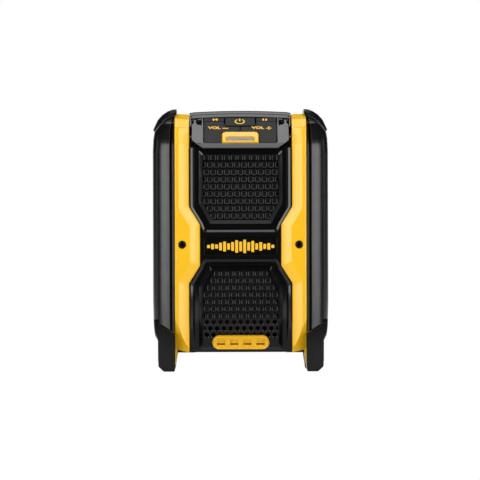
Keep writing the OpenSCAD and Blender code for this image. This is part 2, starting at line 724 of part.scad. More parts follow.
module top_cover() {
    crown_r = (pow(panel_half, 2) + pow(ridge_crown, 2)) / (2 * ridge_crown);
    grip_y = ridge_y + ridge_len + 2.5;
    color([0.13, 0.13, 0.13]) difference() {
        intersection() {
            bar(cover_profile(), -cover_top_half, cover_top_half);
            translate([0, 90, ridge_top - crown_r]) rotate([90, 0, 0])
                cylinder(r = crown_r, h = 180, $fn = 720);
        }
        difference() {
            bar(cover_hollow(), wall - cover_top_half, cover_top_half - wall);
            translate([-grip_w / 2 - wall, grip_y - wall, joint_z + 32.6 - grip_depth - wall])
                cube([grip_w + 2 * wall, grip_len + 2 * wall, grip_depth + wall]);
        }
        translate([-grip_w / 2, grip_y, joint_z + 32.6 - grip_depth])
            cube([grip_w, grip_len, grip_depth + 9]);
        on_controls() {
            translate([-keypad_half, 0, carrier_w - 3]) cube([2 * keypad_half, keypad_len, 15]);
            for (x = [-1, 1]) translate([x * (keypad_half + 6) - 4, keypad_len - 10, -2.5])
                cube([8, 9, 9]);
        }
    }
}

module cap(pts) {
    translate([0, 0, -cap_t]) linear_extrude(cap_t) polygon(pts);
}

module stem(x, v) {
    translate([x, v, stem_w]) cylinder(r = stem_r, h = -cap_t - stem_w + 0.5);
}

function key_rect(x0, x1, v0, v1) = rounded([[x0 + button_gap, v0 + button_gap],
    [x1 - button_gap, v0 + button_gap], [x1 - button_gap, v1 - button_gap],
    [x0 + button_gap, v1 - button_gap]], 0.8);

module power_button() {
    color(black) on_controls() {
        cap(key_rect(-power_half, power_half, keypad_len - power_len, keypad_len));
        stem(0, power_v);
    }
}

module play_button() {
    color(black) on_controls() {
        cap(key_rect(power_half, keypad_half, keypad_len - upper_key_len, keypad_len));
        stem(upper_key_x, upper_key_v);
    }
}

module pair_button() {
    mirrored() play_button();
}

module volume_up_button() {
    g = button_gap;
    v1 = keypad_len - upper_key_len - g;
    v2 = keypad_len - power_len - g;
    color(black) on_controls() {
        cap([[bezel_half + g, g], [keypad_half - g, g], [keypad_half - g, v1],
            [power_half + g, v1], [power_half + g, v2], [g, v2], [g, bezel_len + g],
            [bezel_half + g, bezel_len + g]]);
        stem(volume_x, volume_v);
    }
}

module volume_down_button() {
    mirrored() volume_up_button();
}

module button_carrier() {
    color([0.2, 0.2, 0.2]) on_controls() difference() {
        union() {
            translate([-keypad_half - 4, 1, carrier_w - carrier_t])
                cube([2 * keypad_half + 8, keypad_len + 1, carrier_t]);
            for (x = [-1, 1] * post_x, v = post_vs) translate([x, v, board_w])
                cylinder(r = 2.2, h = carrier_w - board_w - 0.5);
        }
        for (p = stem_places) translate([p.x, p.y, carrier_w - carrier_t - 1])
            cylinder(r = stem_r + button_gap, h = carrier_t + 2);
    }
}

module button_circuit_board() {
    color([0.05, 0.3, 0.15]) on_controls() {
        translate([-keypad_half, 6, board_w - board_t])
            cube([2 * keypad_half, keypad_len - 6, board_t]);
        for (p = stem_places) translate([p.x - 2.5, p.y - 2.5, board_w]) cube([5, 5, switch_h]);
    }
}

module indicator_bezel() {
    v0 = button_gap;
    outline = [[bezel_half, v0], [bezel_half, bezel_len - 4],
        each [for (a = [0:15:90]) [bezel_half - 4 + 4 * cos(a), bezel_len - 4 + 4 * sin(a)]],
        each [for (a = [90:15:180]) [4 - bezel_half + 4 * cos(a), bezel_len - 4 + 4 * sin(a)]],
        [-bezel_half, v0]];
    color(yellow) on_controls() translate([0, 0, carrier_w]) difference() {
        linear_extrude(bezel_proud - carrier_w) polygon(outline);
        translate([-lens_half - fit, lens_v0 - fit, -1])
            cube([2 * (lens_half + fit), lens_len + 2 * fit, 19]);
    }
}

module indicator_lens() {
    color([0.75, 0.75, 0.78]) on_controls() translate([-lens_half, lens_v0, carrier_w])
        cube([2 * lens_half, lens_len, bezel_proud - carrier_w - 0.6]);
}

module rear_cover() {
    x_bay = bay_w / 2;
    color(black) difference() {
        union() {
            difference() {
                mirror([0, 1, 0]) bar(core_profile(0), -core_half, core_half);
                bar([[-1, ground_gap + wall], [rear_y - base_lean - wall, ground_gap + wall],
                    [rear_y - wall, ground_gap + base_lean_h], [rear_y - wall, joint_z + 1],
                    [-1, joint_z + 1]], wall - core_half, core_half - wall);
            }
            intersection() {
                bar(bay_profile(wall), -x_bay - wall, x_bay + wall);
                slab(box_outline(core_half, ground_gap, joint_z), 0, rear_y);
            }
            slab(box_outline(cover_w / 2 + 6, axis_z - 4, socket_z1 + wall + 2), socket_y - wall, rear_y);
            for (x = [-1, 1] * side_screw_x, z = rear_screw_heights)
                rod(x, z, boss_r, rear_y - 14, rear_y - 1);
            for (x = [-1, 1] * board_boss_x, z = board_boss_heights)
                rod(x, z, boss_r, main_board_y + board_t, bay_y - 1);
            for (x = [-1, 1] * (socket_half - 2))
                rod(x, (axis_z + socket_z1) / 2 + 2, 2.4, socket_board_y + board_t, socket_y - 1);
        }
        bar(bay_profile(0), -x_bay, x_bay);
        slab(box_outline(cover_w / 2 + hinge_gap, axis_z, cover_z + cover_h + hinge_gap),
            rear_y - cover_t - fit, rear_y + 1);
        slab(box_outline(cover_w / 2 + hinge_gap, axis_z - hinge_r - hinge_gap, axis_z + 1), axis_y,
            rear_y + 1);
        translate([-cover_w / 2 - hinge_gap, axis_y, axis_z]) rotate([0, 90, 0])
            cylinder(r = hinge_r + hinge_gap, h = cover_w + 2 * hinge_gap);
        translate([-cover_w / 2 - pin_len - hinge_gap, axis_y, axis_z]) rotate([0, 90, 0])
            cylinder(r = pin_r + 0.06, h = cover_w + 2 * (pin_len + hinge_gap));
        slab(box_outline(socket_half, axis_z + 4, socket_z1), socket_y, rear_y);
        socket_shapes(fit, socket_y - wall - 1, socket_y + 1);
        for (x = [-1, 1] * side_screw_x, z = rear_screw_heights)
            rod(x, z, pilot_r, rear_y - 15, rear_y + 1);
        for (x = [-1, 1] * board_boss_x, z = board_boss_heights)
            rod(x, z, 1.3, main_board_y, bay_y - wall);
    }
}

module socket_shapes(e, y0, y1) {
    z = (axis_z + socket_z1) / 2 + 2;
    slab(box_outline(usb_w / 2 + e, z - usb_h / 2 - e, z + usb_h / 2 + e), y0, y1);
    rod(-jack_x, z, jack_r + e, y0, y1);
    rod(jack_x, z, jack_r + e, y0, y1);
}

module usb_port() {
    z = (axis_z + socket_z1) / 2 + 2;
    y0 = socket_board_y + board_t;
    color([0.7, 0.7, 0.72]) difference() {
        slab(box_outline(usb_w / 2, z - usb_h / 2, z + usb_h / 2), y0, socket_y + 1);
        difference() {
            slab(box_outline(usb_w / 2 - 0.6, z - usb_h / 2 + 0.6, z + usb_h / 2 - 0.6), y0 + 2,
                socket_y + 2);
            slab(box_outline(usb_w / 2 - 1.2, z + 0.2, z + 1.8), y0 + 1, socket_y);
        }
    }
}

module jack(x, bore) {
    z = (axis_z + socket_z1) / 2 + 2;
    y0 = socket_board_y + board_t;
    difference() {
        rod(x, z, jack_r, y0, socket_y + 1);
        rod(x, z, bore, y0 + 2, socket_y + 2);
    }
}

module aux_jack() {
    color([0.1, 0.1, 0.1]) jack(-jack_x, 1.8);
}

module power_jack() {
    color([0.15, 0.15, 0.15]) {
        jack(jack_x, 2.8);
        rod(jack_x, (axis_z + socket_z1) / 2 + 2, 0.9, socket_board_y + board_t + 1.5, socket_y);
    }
}

module socket_board() {
    z = (axis_z + socket_z1) / 2 + 2;
    color([0.05, 0.3, 0.15]) slab(box_outline(socket_half, z - 8, z + 8), socket_board_y,
        socket_board_y + board_t);
}

module port_cover() {
    color([0.12, 0.12, 0.12]) {
        difference() {
            slab(rounded(box_outline(cover_w / 2, axis_z - 4, cover_z + cover_h), 2), rear_y - cover_t,
                rear_y);
            slab(box_outline(cover_w, axis_z - 9, axis_z), rear_y - cover_t - 1, rear_y + 1);
        }
        translate([-cover_w / 2, axis_y, axis_z]) rotate([0, 90, 0])
            cylinder(r = hinge_r, h = cover_w);
        translate([-cover_w / 2 - pin_len, axis_y, axis_z]) rotate([0, 90, 0])
            cylinder(r = pin_r, h = cover_w + 2 * pin_len);
        slab(box_outline(8, cover_z + cover_h - 4, cover_z + cover_h - 1.5), rear_y - 1, rear_y + 1.5);
    }
}

module battery_dock() {
    color([0.16, 0.16, 0.16]) {
        slab(box_outline(bay_w / 2 - 4, bay_z0, bay_z0 + dock_len), bay_y, bay_y + dock_t);
        for (x = [-1, 1]) {
            slab([for (p = box_outline(1.5, bay_z0 + 6, bay_z0 + dock_len)) [p.x + x * rail_gap / 2, p.y]],
                bay_y + dock_t - 1, bay_y + dock_t + rail_h);
            slab([for (p = box_outline(3, bay_z0 + 6, bay_z0 + dock_len)) [p.x + x * (rail_gap / 2 - 1.5), p.y]],
                bay_y + dock_t + rail_h - 2.5, bay_y + dock_t + rail_h);
        }
    }
}

module terminal_block() {
    color([0.08, 0.08, 0.08]) slab(box_outline(block_w / 2, bay_z0, bay_z0 + block_h), bay_y + dock_t,
        bay_y + dock_t + rail_h - 1);
}

module terminal_blades() {
    color([0.8, 0.65, 0.3]) for (i = [0:blades - 1])
        translate([(i - (blades - 1) / 2) * blade_pitch - 0.4, bay_y + dock_t + 1, bay_z0 + block_h])
            cube([0.8, 6, blade_len]);
}

module driver_baffle() {
    color([0.15, 0.15, 0.15]) difference() {
        slab(box_outline(boss_x + 4, baffle_z0, baffle_z1), baffle_y, driver_y);
        for (z = [upper_axis, lower_axis]) {
            rod(0, z, seat_r + 0.3, baffle_y - 1, driver_y + 1);
            for (x = [-1, 1], w = [-1, 1])
                rod(x * driver_screw_x, z + w * driver_screw_x, pilot_r, baffle_y - 1, driver_y + 1);
        }
        for (x = [-1, 1] * boss_x, z = boss_heights) rod(x, z, pilot_r, baffle_y - 1, driver_y + 1);
    }
}

// A solid of revolution about a driver's axis, from [radius, y] points
module lathe(z, pts) {
    translate([0, 0, z]) rotate([-90, 0, 0]) rotate_extrude() polygon(pts);
}

module driver_flange(z, y0, y1, r) {
    difference() {
        slab(rounded(box_outline(driver_w / 2, z - driver_w / 2, z + driver_w / 2), 8), y0, y1);
        rod(0, z, r, y0 - 1, y1 + 1);
        for (x = [-1, 1], w = [-1, 1])
            rod(x * driver_screw_x, z + w * driver_screw_x, hole_r, y0 - 1, y1 + 1);
    }
}

module gasket(z) {
    color([0.25, 0.25, 0.25]) driver_flange(z, driver_y, flange_y, seat_r + 0.3);
}

module driver_frame(z) {
    color([0.3, 0.3, 0.32]) difference() {
        union() {
            driver_flange(z, flange_y, flange_y + flange_t, seat_r - 1);
            lathe(z, [[seat_r - 1, flange_y], [seat_r + 2.5, flange_y],
                [seat_r + 2.5, flange_y + flange_t], [seat_r + 0.5, flange_y + flange_t],
                [magnet_r, magnet_y], [gap_r + 1, magnet_y], [gap_r + 1, magnet_y - 1.5],
                [magnet_r - 1.4, magnet_y - 1.5], [seat_r - 1, flange_y + 1.2]]);
        }
        for (a = [0:90:270]) translate([0, (flange_y + magnet_y) / 2, z]) rotate([0, a, 0])
            translate([magnet_r + 4, 0, 0]) cube([20, window_len, 18], center = true);
    }
}

module magnet(z) {
    y1 = magnet_y + magnet_t;
    color([0.35, 0.35, 0.38]) lathe(z, [[0, magnet_y], [pole_r, magnet_y], [pole_r, y1 - 4],
        [gap_r, y1 - 4], [gap_r, magnet_y], [magnet_r, magnet_y], [magnet_r, y1], [0, y1]]);
}

module cone(z) {
    neck = cone_y + cone_depth;
    color([0.1, 0.1, 0.1]) lathe(z, [[0, neck - 4.5], [4, neck - 4.2], [7.5, neck - 3],
        [coil_r + 0.6, neck - 1], [cone_r, cone_y], [cone_r, cone_y + 0.9],
        [coil_r, neck + 0.2], [coil_r, magnet_y + 6], [coil_r - 0.5, magnet_y + 6],
        [coil_r - 0.5, neck - 0.6], [7, neck - 2.1], [3.8, neck - 3.4], [0, neck - 3.6]]);
}

module surround(z) {
    mid = (cone_r + seat_r) / 2;
    roll = (seat_r - cone_r) / 2 - 0.4;
    color([0.06, 0.06, 0.06]) lathe(z, concat(
        [for (a = [180:-15:0]) [mid + roll * cos(a), flange_y - 1 - roll * sin(a) * 0.9]],
        [[seat_r, flange_y - 1], [seat_r, flange_y], [mid + roll - 0.7, flange_y]],
        [for (a = [0:15:180]) [mid + (roll - 0.7) * cos(a), flange_y - 0.9 - (roll - 0.7) * sin(a) * 0.9]],
        [[cone_r + 0.15, flange_y - 0.6], [cone_r + 0.15, flange_y - 1.3]]));
}

module upper_gasket() {
    gasket(upper_axis);
}

module lower_gasket() {
    gasket(lower_axis);
}

module upper_driver_frame() {
    driver_frame(upper_axis);
}

module lower_driver_frame() {
    driver_frame(lower_axis);
}

module upper_magnet() {
    magnet(upper_axis);
}

module lower_magnet() {
    magnet(lower_axis);
}

module upper_cone() {
    cone(upper_axis);
}

module lower_cone() {
    cone(lower_axis);
}

module upper_surround() {
    surround(upper_axis);
}

module lower_surround() {
    surround(lower_axis);
}

module upper_cloth() {
    color([0.03, 0.03, 0.03]) slab(inset(block_upper(), block_bevel + block_land + fit), face_y + grille_t,
        face_y + grille_t + 0.5);
}

module lower_cloth() {
    color([0.03, 0.03, 0.03]) slab(inset(block_lower(), block_bevel + block_land + fit), face_y + grille_t,
        face_y + grille_t + 0.5);
}

module main_circuit_board() {
    color([0.05, 0.3, 0.15]) {
        difference() {
            slab(box_outline(board_half, main_board_z0, main_board_z1), main_board_y,
                main_board_y + board_t);
            for (x = [-1, 1] * board_boss_x, z = board_boss_heights)
                rod(x, z, 1.5, main_board_y - 1, main_board_y + board_t + 1);
        }
        for (i = [0:2]) rod(-20 + 9 * i, main_board_z1 - 14, 3.8, main_board_y - 9, main_board_y);
        translate([8, main_board_y - 6, main_board_z1 - 26]) cube([20, 6, 14]);
        translate([-12, main_board_y - 1.6, main_board_z0 + 24]) cube([14, 1.6, 14]);
    }
}

module screw(x, z, head_r, head_y, tip_y, shank_r) {
    d = sign(tip_y - head_y);
    rod(x, z, head_r, min(head_y, head_y - 1.6 * d), max(head_y, head_y - 1.6 * d));
    rod(x, z, shank_r, min(head_y, tip_y), max(head_y, tip_y));
}

module side_frame_screws() {
    color([0.2, 0.2, 0.2]) for (x = [-1, 1] * side_screw_x)
        screw(x, waist_z, screw_recess_d / 2 - 0.6, strip_y + 2, inner_y + 10, screw_r);
}

module rear_screws() {
    color([0.2, 0.2, 0.2]) for (x = [-1, 1] * side_screw_x, z = rear_screw_heights)
        screw(x, z, screw_recess_d / 2 - 0.6, -strip_y - 2, rear_y - 12, screw_r);
}

module driver_screws() {
    color([0.5, 0.5, 0.5]) for (z = [upper_axis, lower_axis], x = [-1, 1], w = [-1, 1])
        screw(x * driver_screw_x, z + w * driver_screw_x, 2.9, flange_y + flange_t, baffle_y + 0.5,
            screw_r);
}

module board_screws() {
    color([0.5, 0.5, 0.5]) for (x = [-1, 1] * board_boss_x, z = board_boss_heights)
        screw(x, z, 2.4, main_board_y, bay_y - wall - 2, 1.2);
}

front_panel();
upper_grille();
lower_grille();
badge_plate();
port_trim();
bass_port_tube();
left_side_frame();
right_side_frame();
left_bumper();
right_bumper();
left_corner_guard();
right_corner_guard();
top_cover();
button_carrier();
power_button();
pair_button();
play_button();
volume_down_button();
volume_up_button();
indicator_bezel();
indicator_lens();
button_circuit_board();
rear_cover();
battery_dock();
terminal_block();
terminal_blades();
port_cover();
usb_port();
aux_jack();
power_jack();
socket_board();
driver_baffle();
upper_gasket();
upper_driver_frame();
upper_magnet();
upper_cone();
upper_surround();
lower_gasket();
lower_driver_frame();
lower_magnet();
lower_cone();
lower_surround();
upper_cloth();
lower_cloth();
main_circuit_board();
side_frame_screws();
rear_screws();
driver_screws();
board_screws();
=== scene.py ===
"""Looks of a rugged portable speaker: rounded mouldings, perforated grilles, printed keys, lamps."""

import json
import math

import bmesh
import bpy
from mathutils import Matrix, Vector

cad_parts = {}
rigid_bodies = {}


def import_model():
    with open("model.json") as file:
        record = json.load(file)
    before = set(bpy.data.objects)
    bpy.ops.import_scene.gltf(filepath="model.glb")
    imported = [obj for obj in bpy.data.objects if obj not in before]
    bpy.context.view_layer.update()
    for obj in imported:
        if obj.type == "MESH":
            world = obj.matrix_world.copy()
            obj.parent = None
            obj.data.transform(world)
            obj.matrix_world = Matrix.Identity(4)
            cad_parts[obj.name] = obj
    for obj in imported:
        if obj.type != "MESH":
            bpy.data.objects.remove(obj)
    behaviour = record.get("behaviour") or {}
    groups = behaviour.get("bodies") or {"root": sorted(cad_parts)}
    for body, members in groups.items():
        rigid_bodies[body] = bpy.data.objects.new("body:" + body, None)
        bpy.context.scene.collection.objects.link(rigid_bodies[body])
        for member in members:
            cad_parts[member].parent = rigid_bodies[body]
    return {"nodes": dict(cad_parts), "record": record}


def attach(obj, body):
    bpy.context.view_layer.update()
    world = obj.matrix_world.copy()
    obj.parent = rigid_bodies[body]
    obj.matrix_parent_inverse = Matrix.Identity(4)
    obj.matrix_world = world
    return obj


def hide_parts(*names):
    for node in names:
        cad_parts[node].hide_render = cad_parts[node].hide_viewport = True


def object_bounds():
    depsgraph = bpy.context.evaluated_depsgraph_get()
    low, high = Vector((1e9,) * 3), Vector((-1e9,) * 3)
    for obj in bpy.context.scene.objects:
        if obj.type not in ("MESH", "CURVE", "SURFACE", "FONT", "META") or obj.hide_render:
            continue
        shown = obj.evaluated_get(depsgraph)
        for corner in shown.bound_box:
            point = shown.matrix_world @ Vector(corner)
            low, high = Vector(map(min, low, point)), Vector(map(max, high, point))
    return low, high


bl_info = {
    "name": "Rugged speaker looks",
    "version": (1, 0, 0),
    "blender": (4, 5, 0),
    "location": "View3D > Sidebar > Speaker",
    "description": "Dresses the packed speaker with rounded mouldings, perforations and finishes",
    "category": "Object",
}

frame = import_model()
cad_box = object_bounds()
MM = 0.001


# ---- outlines, in millimetres

def unit(v):
    size = math.hypot(*v)
    return [c / size for c in v]


def offset(points, d, closed=True):
    """The outline moved d to its left, which is inward on a counter-clockwise one.

    d is one distance, or a list of one for each side of a closed outline."""
    n = len(points)
    each = d if isinstance(d, (list, tuple)) else [d] * n
    moved = []
    for i, b in enumerate(points):
        a = points[i - 1] if closed or i else None
        c = points[(i + 1) % n] if closed or i + 1 < n else None
        turns = [(unit((q[0] - p[0], q[1] - p[1])), e)
                 for p, q, e in ((a, b, each[i - 1]), (b, c, each[i])) if p and q]
        (t, e), (u, f) = turns[0], turns[-1]
        cross = t[0] * u[1] - t[1] * u[0]
        if abs(cross) < 1e-6:
            moved.append([b[0] - t[1] * (e + f) / 2, b[1] + t[0] * (e + f) / 2])
        else:
            moved.append([b[k] + (u[k] * e - t[k] * f) / cross for k in (0, 1)])
    return moved


def rounded(points, radius, steps=4, closed=True):
    """The outline with its corners turned into arcs of this radius, or less where a side is short."""
    out = []
    n = len(points)
    for i, c in enumerate(points):
        if not closed and i in (0, n - 1):
            out.append(list(c))
            continue
        p, q = points[i - 1], points[(i + 1) % n]
        u, w = unit([p[k] - c[k] for k in (0, 1)]), unit([q[k] - c[k] for k in (0, 1)])
        half = math.acos(max(-1, min(1, u[0] * w[0] + u[1] * w[1]))) / 2
        if half > math.radians(89.5):
            out.append(list(c))
            continue
        reach = min(radius / math.tan(half), 0.48 * math.dist(p, c), 0.48 * math.dist(q, c))
        r = reach * math.tan(half)
        mid = [c[k] + unit([u[j] + w[j] for j in (0, 1)])[k] * r / math.sin(half) for k in (0, 1)]
        a0 = math.atan2(c[1] + u[1] * reach - mid[1], c[0] + u[0] * reach - mid[0])
        a1 = math.atan2(c[1] + w[1] * reach - mid[1], c[0] + w[0] * reach - mid[0])
        sweep = (a1 - a0 + math.pi) % (2 * math.pi) - math.pi
        out += [[mid[0] + r * math.cos(a0 + sweep * s / steps),
                 mid[1] + r * math.sin(a0 + sweep * s / steps)] for s in range(steps + 1)]
    return out


def at(points, t, key=0):
    """The other coordinate of a path of points where its key coordinate is t."""
    other = 1 - key
    if t <= points[0][key]:
        return points[0][other]
    for a, b in zip(points, points[1:]):
        if a[key] <= t <= b[key] and b[key] > a[key]:
            return a[other] + (b[other] - a[other]) * (t - a[key]) / (b[key] - a[key])
    return points[-1][other]


# ---- meshes

def linked(name, data):
    """A new object, put in the scene."""
    obj = bpy.data.objects.new(name, data)
    bpy.context.scene.collection.objects.link(obj)
    return obj


def piece(name, mesh, slot, finish=None, stands_for=(), body="body", sharp=35):
    """Puts a mesh in the scene, smooth up to an angle, riding on a body; its slot may name its finish."""
    mesh.shade_smooth()
    mesh.set_sharp_from_angle(angle=math.radians(sharp))
    # broad faces keep their own normals, so the light turns only on the roundings
    mesh = with_modifier(mesh, name, "WEIGHTED_NORMAL", keep_sharp=True)
    obj = linked(name, mesh)
    mesh.materials.clear()
    mesh.materials.append(shade(finish or slot))
    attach(obj, body)
    if stands_for:
        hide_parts(*stands_for)


def mesh_of(bm, name):
    mesh = bpy.data.meshes.new(name)
    bm.to_mesh(mesh)
    bm.free()
    return mesh


def rings_mesh(name, rings, caps=True, wrap=False):
    """A skin over closed rings of equally many points, in millimetres; wrap joins the last to the first."""
    n, count = len(rings[0]), len(rings)
    faces = []
    for r in range(count if wrap else count - 1):
        s = (r + 1) % count
        faces += [[r * n + i, r * n + (i + 1) % n, s * n + (i + 1) % n, s * n + i] for i in range(n)]
    if caps and not wrap:
        faces += [list(range(n))[::-1], [(count - 1) * n + i for i in range(n)]]
    bm = bmesh.new()
    verts = [bm.verts.new([c * MM for c in p]) for ring in rings for p in ring]
    for face in faces:
        bm.faces.new([verts[i] for i in face])
    bmesh.ops.remove_doubles(bm, verts=bm.verts, dist=1e-6)
    bmesh.ops.recalc_face_normals(bm, faces=bm.faces)
    return mesh_of(bm, name)


def joined(name, meshes):
    """One mesh of several closed ones."""
    bm = bmesh.new()
    for mesh in meshes:
        bm.from_mesh(mesh)
        bpy.data.meshes.remove(mesh)
    return mesh_of(bm, name)


def mirrored(mesh, name):
    """The same mesh on the other side of the middle plane."""
    twin = mesh.copy()
    twin.name = name
    twin.transform(Matrix.Scale(-1, 4, (1, 0, 0)))
    twin.flip_normals()
    return twin


def evaluated(obj, name):
    """The object's mesh with its modifiers worked in; the object itself goes."""
    graph = bpy.context.evaluated_depsgraph_get()
    mesh = bpy.data.meshes.new_from_object(obj.evaluated_get(graph))
    mesh.name = name
    old = obj.data
    bpy.data.objects.remove(obj)
    if old.users == 0:
        bpy.data.batch_remove([old])
    return mesh


def with_modifier(mesh, name, kind, **settings):
    """Works a modifier into a mesh."""
    obj = linked(name, mesh)
    modifier = obj.modifiers.new(kind.title(), kind)
    for key, value in settings.items():
        setattr(modifier, key, value)
    return evaluated(obj, name)


def softened(node, width):
    """A copy of a CAD node, its flat faces whole and its edges rounded as a mould leaves them."""
    bm = bmesh.new()
    bm.from_mesh(frame["nodes"][node].data)
    bmesh.ops.remove_doubles(bm, verts=bm.verts, dist=2e-6)
    if node in ("front_panel", "rear_cover"):
        # faces with openings in them stay in parts
        bmesh.ops.join_triangles(bm, faces=bm.faces, angle_face_threshold=math.radians(1),
                                 angle_shape_threshold=math.radians(120))
    else:
        bmesh.ops.dissolve_limit(bm, angle_limit=math.radians(1.5), verts=bm.verts, edges=bm.edges)
    return with_modifier(
        mesh_of(bm, node + "_welded"), node + "_soft", "BEVEL", width=width * MM, segments=3,
        limit_method="ANGLE", angle_limit=math.radians(28), miter_outer="MITER_ARC", use_clamp_overlap=True)


def cut(mesh, name, tool):
    """Takes the tool's shape out of a mesh."""
    knife = linked(name + "_tool", tool)
    out = with_modifier(mesh, name, "BOOLEAN", object=knife, operation="DIFFERENCE", solver="EXACT")
    bpy.data.objects.remove(knife)
    bpy.data.meshes.remove(tool)
    return out


def pad(name, outline, levels, place, radius=0, steps=3):
    """A block over an outline; each level is how far in its ring lies, and how high."""
    rings = []
    for d, h in levels:
        ring = offset(outline, d)
        if radius:
            ring = rounded(ring, max(radius - d, 0.25), steps)
        rings.append([place(*point, h) for point in ring])
    return rings_mesh(name, rings)


def turned(name, centre, levels, sides, axis="y"):
    """A lathed shape; each level is a radius and a place along the axis."""
    rings = []
    for r, t in levels:
        turns = [2 * math.pi * i / sides for i in range(sides)]
        around = [(centre[0] + r * math.cos(a), centre[1] + r * math.sin(a)) for a in turns]
        rings.append([(u, t, v) if axis == "y" else (t, u, v) for u, v in around])
    return rings_mesh(name, rings)


def box_outline(x0, x1, z0, z1):
    return [[x0, z0], [x1, z0], [x1, z1], [x0, z1]]


# ---- node trees

class Wire:
    """A socket that can be used in sums."""

    def __init__(self, graph, socket):
        self.graph, self.socket = graph, socket

    def _sum(self, operation, a, b):
        return self.graph.node("ShaderNodeMath", {0: a, 1: b}, operation=operation)

    def __add__(self, other):
        return self._sum("ADD", self, other)

    __radd__ = __add__

    def __sub__(self, other):
        return self._sum("SUBTRACT", self, other)

    def __rsub__(self, other):
        return self._sum("SUBTRACT", other, self)

    def __mul__(self, other):
        return self._sum("MULTIPLY", self, other)

    __rmul__ = __mul__

    def __pow__(self, other):
        return self._sum("POWER", self, other)


class Graph:
    """A node tree in which each node is made in one call."""

    def __init__(self, tree):
        self.tree = tree

    def node(self, kind, inputs=None, out=0, **settings):
        """A new node, its inputs set or wired; gives one of its outputs."""
        made = self.tree.nodes.new(kind)
        for key, value in settings.items():
            if key == "stops":
                ramp = made.color_ramp
                while len(ramp.elements) < len(value):
                    ramp.elements.new(0.5)
                for element, (spot, colour) in zip(ramp.elements, value):
                    element.position, element.color = spot, colour
            else:
                setattr(made, key, value)
        for key, value in (inputs or {}).items():
            if isinstance(value, Wire):
                self.tree.links.new(value.socket, made.inputs[key])
            else:
                made.inputs[key].default_value = value
        return Wire(self, made.outputs[out])

    def rays(self):
        """Whether a ray comes from the camera, by a mirror or through glass."""
        return [self.node("ShaderNodeLightPath", out="Is %s Ray" % kind)
                for kind in ("Camera", "Glossy", "Transmission")]

    def larger(self, a, b):
        return self.node("ShaderNodeMath", {0: a, 1: b}, operation="MAXIMUM")


def spread_tree(kinds):
    """A node tree that puts one of several shapes on each point, by the point's kind."""
    tree = bpy.data.node_groups.new("spread_%d" % kinds, "GeometryNodeTree")
    for name, kind in (("Geometry", "Geometry"), *(("Shape %d" % k, "Object") for k in range(kinds)),
                       ("Merge distance", "Float"), ("Material", "Material")):
        tree.interface.new_socket(name=name, in_out="INPUT", socket_type="NodeSocket" + kind)
    tree.interface.new_socket(name="Geometry", in_out="OUTPUT", socket_type="NodeSocketGeometry")
    g = Graph(tree)
    given = {socket.name: Wire(g, socket) for socket in tree.nodes.new("NodeGroupInput").outputs}
    join = tree.nodes.new("GeometryNodeJoinGeometry")
    own = g.node("GeometryNodeInputNamedAttribute", {"Name": "kind"}, "Attribute", data_type="INT")
    for k in range(kinds):
        same = g.node("FunctionNodeCompare", {2: own, 3: k}, data_type="INT", operation="EQUAL")
        shape = g.node("GeometryNodeObjectInfo", {"Object": given["Shape %d" % k]}, "Geometry")
        put = g.node("GeometryNodeInstanceOnPoints", {
            "Points": given["Geometry"], "Selection": same, "Instance": shape})
        tree.links.new(put.socket, join.inputs[0])
    real = g.node("GeometryNodeRealizeInstances", {0: Wire(g, join.outputs[0])})
    merged = g.node("GeometryNodeMergeByDistance", {
        "Geometry": real, "Distance": given["Merge distance"]})
    painted = g.node("GeometryNodeSetMaterial", {"Geometry": merged, "Material": given["Material"]})
    tree.links.new(painted.socket, tree.nodes.new("NodeGroupOutput").inputs[0])
    return tree


def spread(name, places, shapes, finish, merge=0.0):
    """One mesh with a shape on each place; a place is a point in millimetres and a shape's number."""
    kinds = len(shapes)
    tree = bpy.data.node_groups.get("spread_%d" % kinds) or spread_tree(kinds)
    seeds = bpy.data.meshes.new(name + "_places")
    seeds.from_pydata([[c * MM for c in place] for place, _ in places], [], [])
    seeds.attributes.new("kind", "INT", "POINT").data.foreach_set("value", [k for _, k in places])
    obj = linked(name, seeds)
    modifier = obj.modifiers.new("Spread", "NODES")
    modifier.node_group = tree
    holders = [linked("%s_shape_%d" % (name, k), shape) for k, shape in enumerate(shapes)]
    values = {"Shape %d" % k: holder for k, holder in enumerate(holders)}
    values.update({"Merge distance": merge * MM, "Material": shade(finish)})
    for item in tree.interface.items_tree:
        if item.in_out == "INPUT" and item.name in values:
            modifier[item.identifier] = values[item.name]
    mesh = evaluated(obj, name)
    for holder, shape in zip(holders, shapes):
        bpy.data.objects.remove(holder)
        bpy.data.meshes.remove(shape)
    return mesh


# ---- finishes

class Finish(Graph):
    """A procedural material on Object coordinates, in metres."""

    def __init__(self, name, **shader):
        self.material = bpy.data.materials.new(name)
        self.material.use_nodes = True
        super().__init__(self.material.node_tree)
        self.shader = self.tree.nodes["Principled BSDF"]
        for key, value in shader.items():
            self.shader.inputs[key.title()].default_value = value
        self.place = self.node("ShaderNodeTexCoord", out="Object")

    def feed(self, **sockets):
        for key, wire in sockets.items():
            self.tree.links.new(wire.socket, self.shader.inputs[key.replace("_", " ").title()])

    def noise(self, per_metre, detail=2.0, roughness=0.5):
        return self.node("ShaderNodeTexNoise", {
            "Vector": self.place, "Scale": per_metre, "Detail": detail, "Roughness": roughness})

    def between(self, wire, low, high):
        return self.node("ShaderNodeMapRange", {
            "Value": wire, "From Min": 0.3, "From Max": 0.7, "To Min": low, "To Max": high})

    def tinted(self, wire, dark, light):
        return self.node("ShaderNodeMix", {"Factor": wire, "A": (*dark, 1), "B": (*light, 1)}, "Result",
                         data_type="RGBA")

    def bumped(self, height, distance):
        return self.node("ShaderNodeBump", {"Height": height, "Distance": distance, "Strength": 1.0})


